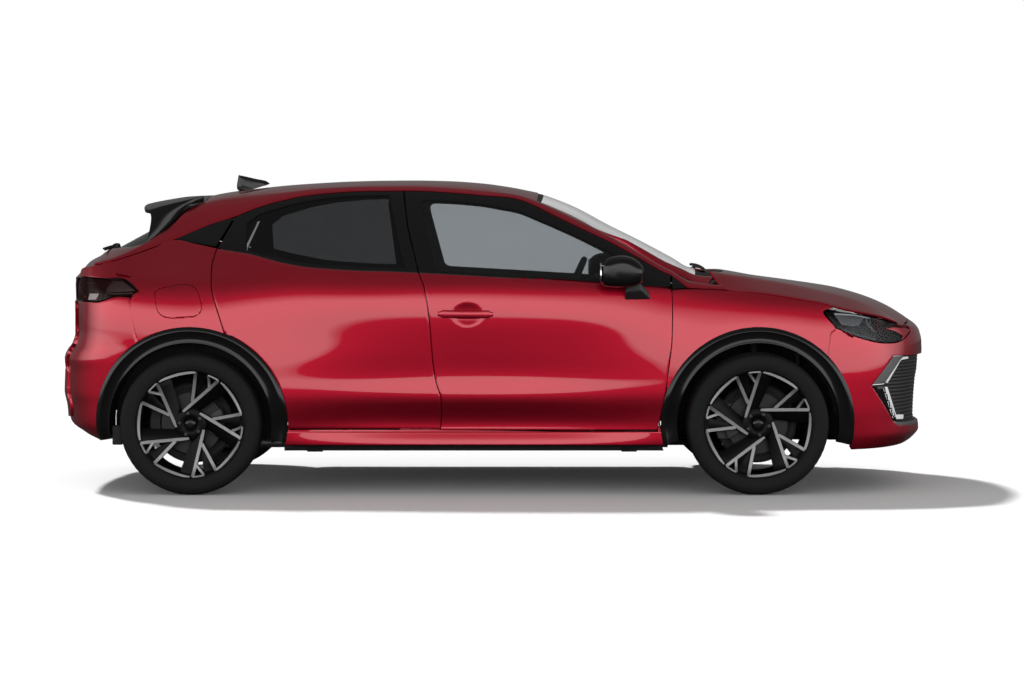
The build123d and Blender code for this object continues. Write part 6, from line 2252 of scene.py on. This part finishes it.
# the lining, the parcel shelf, the door rests and the inside mirror
lining = topPatch(lineAt((-1.20, 0), (0.16, 0)), mm([(-1200, 470), (-800, 480), (-400, 484), (0, 484),
                                                     (150, 480)]), lineAt((-1.20, 0), (-1.20, 0.470)),
                  mm([(160, 0), (158, 300), (150, 480)]), (40, 16), 0.0, 0.050)
panel("headliner", [lining], "headliner", "body", "cabin_plastic", half=True, thick=0.004, edge=0)
cabinBox("parcelShelf", (0.40, 1.04, 0.022), (-1.36, 0, 0.935), 0.008)
for side, sign in (("Right", -1), ("Left", 1)):
    for end, spot in (("front", (0.10, sign * 0.775, 0.700)), ("rear", (-0.66, sign * 0.775, 0.715))):
        roundedBox(end + "DoorRest" + side, (0.42 if end == "front" else 0.30, 0.060, 0.060), spot, 0.018,
                   "cabinPlastic", f"{end}_door_{side.lower()}", "cabin_plastic")
        roundedBox(end + "DoorBar" + side, (0.16, 0.030, 0.016),
                   (spot[0] + 0.02, spot[1] + sign * 0.004, 0.835), 0.006, "cabinGrey",
                   f"{end}_door_{side.lower()}", "cabin_plastic")
cabinBox("mirrorInside", (0.022, 0.23, 0.062), (0.36, 0, 1.262), 0.009)
cabinBox("mirrorStem", (0.070, 0.018, 0.018), (0.40, 0, 1.290), 0.006)
# black closers behind the ends of the sills and of the rear bumper
for k, x in enumerate((0.778, -0.945, -1.722)):
    for side, sign in (("Right", -1), ("Left", 1)):
        roundedBox(f"closer{k}{side}", (0.046, 0.050, 0.088), (x, sign * 0.795, 0.272), 0.006,
                   "blackMatte", "body", "black_matte")
print("lining and shelf ready")


# floor and light

def softLight(name, place, target, size, power):
    data = bpy.data.lights.new(name, "AREA")
    data.shape = "RECTANGLE"
    data.size, data.size_y = size
    data.energy = power
    lamp = bpy.data.objects.new(name, data)
    scene.collection.objects.link(lamp)
    lamp.location = place
    lamp.rotation_euler = (Vector(target) - Vector(place)).to_track_quat("-Z", "Y").to_euler()
    return lamp


# a bright low horizon with a darker ring above it, so the flanks shine and the shoulders stay deep
sky = {"near": 2.6, "far": 0.15, "ring": 0.17, "zenith": 0.28, "below": 0.02, "soft": 0.34, "sun": 3.7,
       "sunWay": (0.5, -0.75, -1), "sunSoft": 5, "strength": 4.0, "fill": 60}
world = bpy.data.worlds.new("studio")
scene.world = world
world.use_nodes = True
Sock.tree = world.node_tree
world.node_tree.nodes.clear()
rays = Sock.node("ShaderNodeLightPath")
roughRays = Sock(rays.socket.node.outputs["Is Diffuse Ray"])
towards = Sock.node("ShaderNodeSeparateXYZ", Vector=Sock.node("ShaderNodeTexCoord", out=0))
across, upward = Sock(towards.socket.node.outputs[1]), Sock(towards.socket.node.outputs[2])


def skyBands(horizon):
    levels = [(0.485, sky["below"]), (0.50, horizon), (0.62, horizon), (0.70, sky["ring"]),
              (0.93, sky["ring"]), (1.0, sky["zenith"])]
    return Sock.node("ShaderNodeValToRGB", {"stops": [(at, (level / 4,) * 3) for at, level in levels]},
                     Fac=upward * 0.5 + 0.5)


bands = mixColour(Sock.node("ShaderNodeClamp", Value=across * 1.6 + 0.2), skyBands(sky["near"]),
                  skyBands(sky["far"]))
skyLight = Sock.node("ShaderNodeBackground", Color=bands, Strength=sky["strength"])
skySoft = Sock.node("ShaderNodeBackground", Color=rgb(1, 1, 1), Strength=upward * sky["soft"] + 0.06)
skySeen = Sock.node("ShaderNodeBackground", Color=rgb(1, 1, 1), Strength=1.0)
worldOut = Sock.tree.nodes.new("ShaderNodeOutputWorld")
indirect = Sock.node("ShaderNodeMixShader", s0=roughRays, s1=skyLight, s2=skySoft)
mixedSky = Sock.node("ShaderNodeMixShader", s0=rays, s1=indirect, s2=skySeen)
Sock.tree.links.new(mixedSky.socket, worldOut.inputs[0])
bpy.ops.object.light_add(type="SUN", location=(-3, 4.5, 6))
sun = bpy.context.active_object
sun.data.energy = sky["sun"]
sun.data.angle = math.radians(sky["sunSoft"])
sun.rotation_euler = Vector(sky["sunWay"]).to_track_quat("-Z", "Y").to_euler()
fill = softLight("fill", (0, -7, 3.5), (0, 0, 0.7), (9, 3), sky["fill"])
for lamp in (sun, fill):
    lamp.visible_glossy = False
scene.view_settings.view_transform = "Standard"

deselect()
bpy.ops.mesh.primitive_plane_add(size=60)
floor = bpy.context.active_object
floor.name = "floor"
material("floorPaper")
pale = noise(0.6)
seen = principled(Base_Color=mixColour(pale, grey(0.90), grey(0.94)), Roughness=0.9)
dark = principled(Base_Color=grey(0.03), Roughness=0.9)
rays = Sock.node("ShaderNodeLightPath")
finishMaterial(Sock.node("ShaderNodeMixShader", s0=rays, s1=dark, s2=seen))
floor.data.materials.append(materials["floorPaper"])
print("floor and light ready")
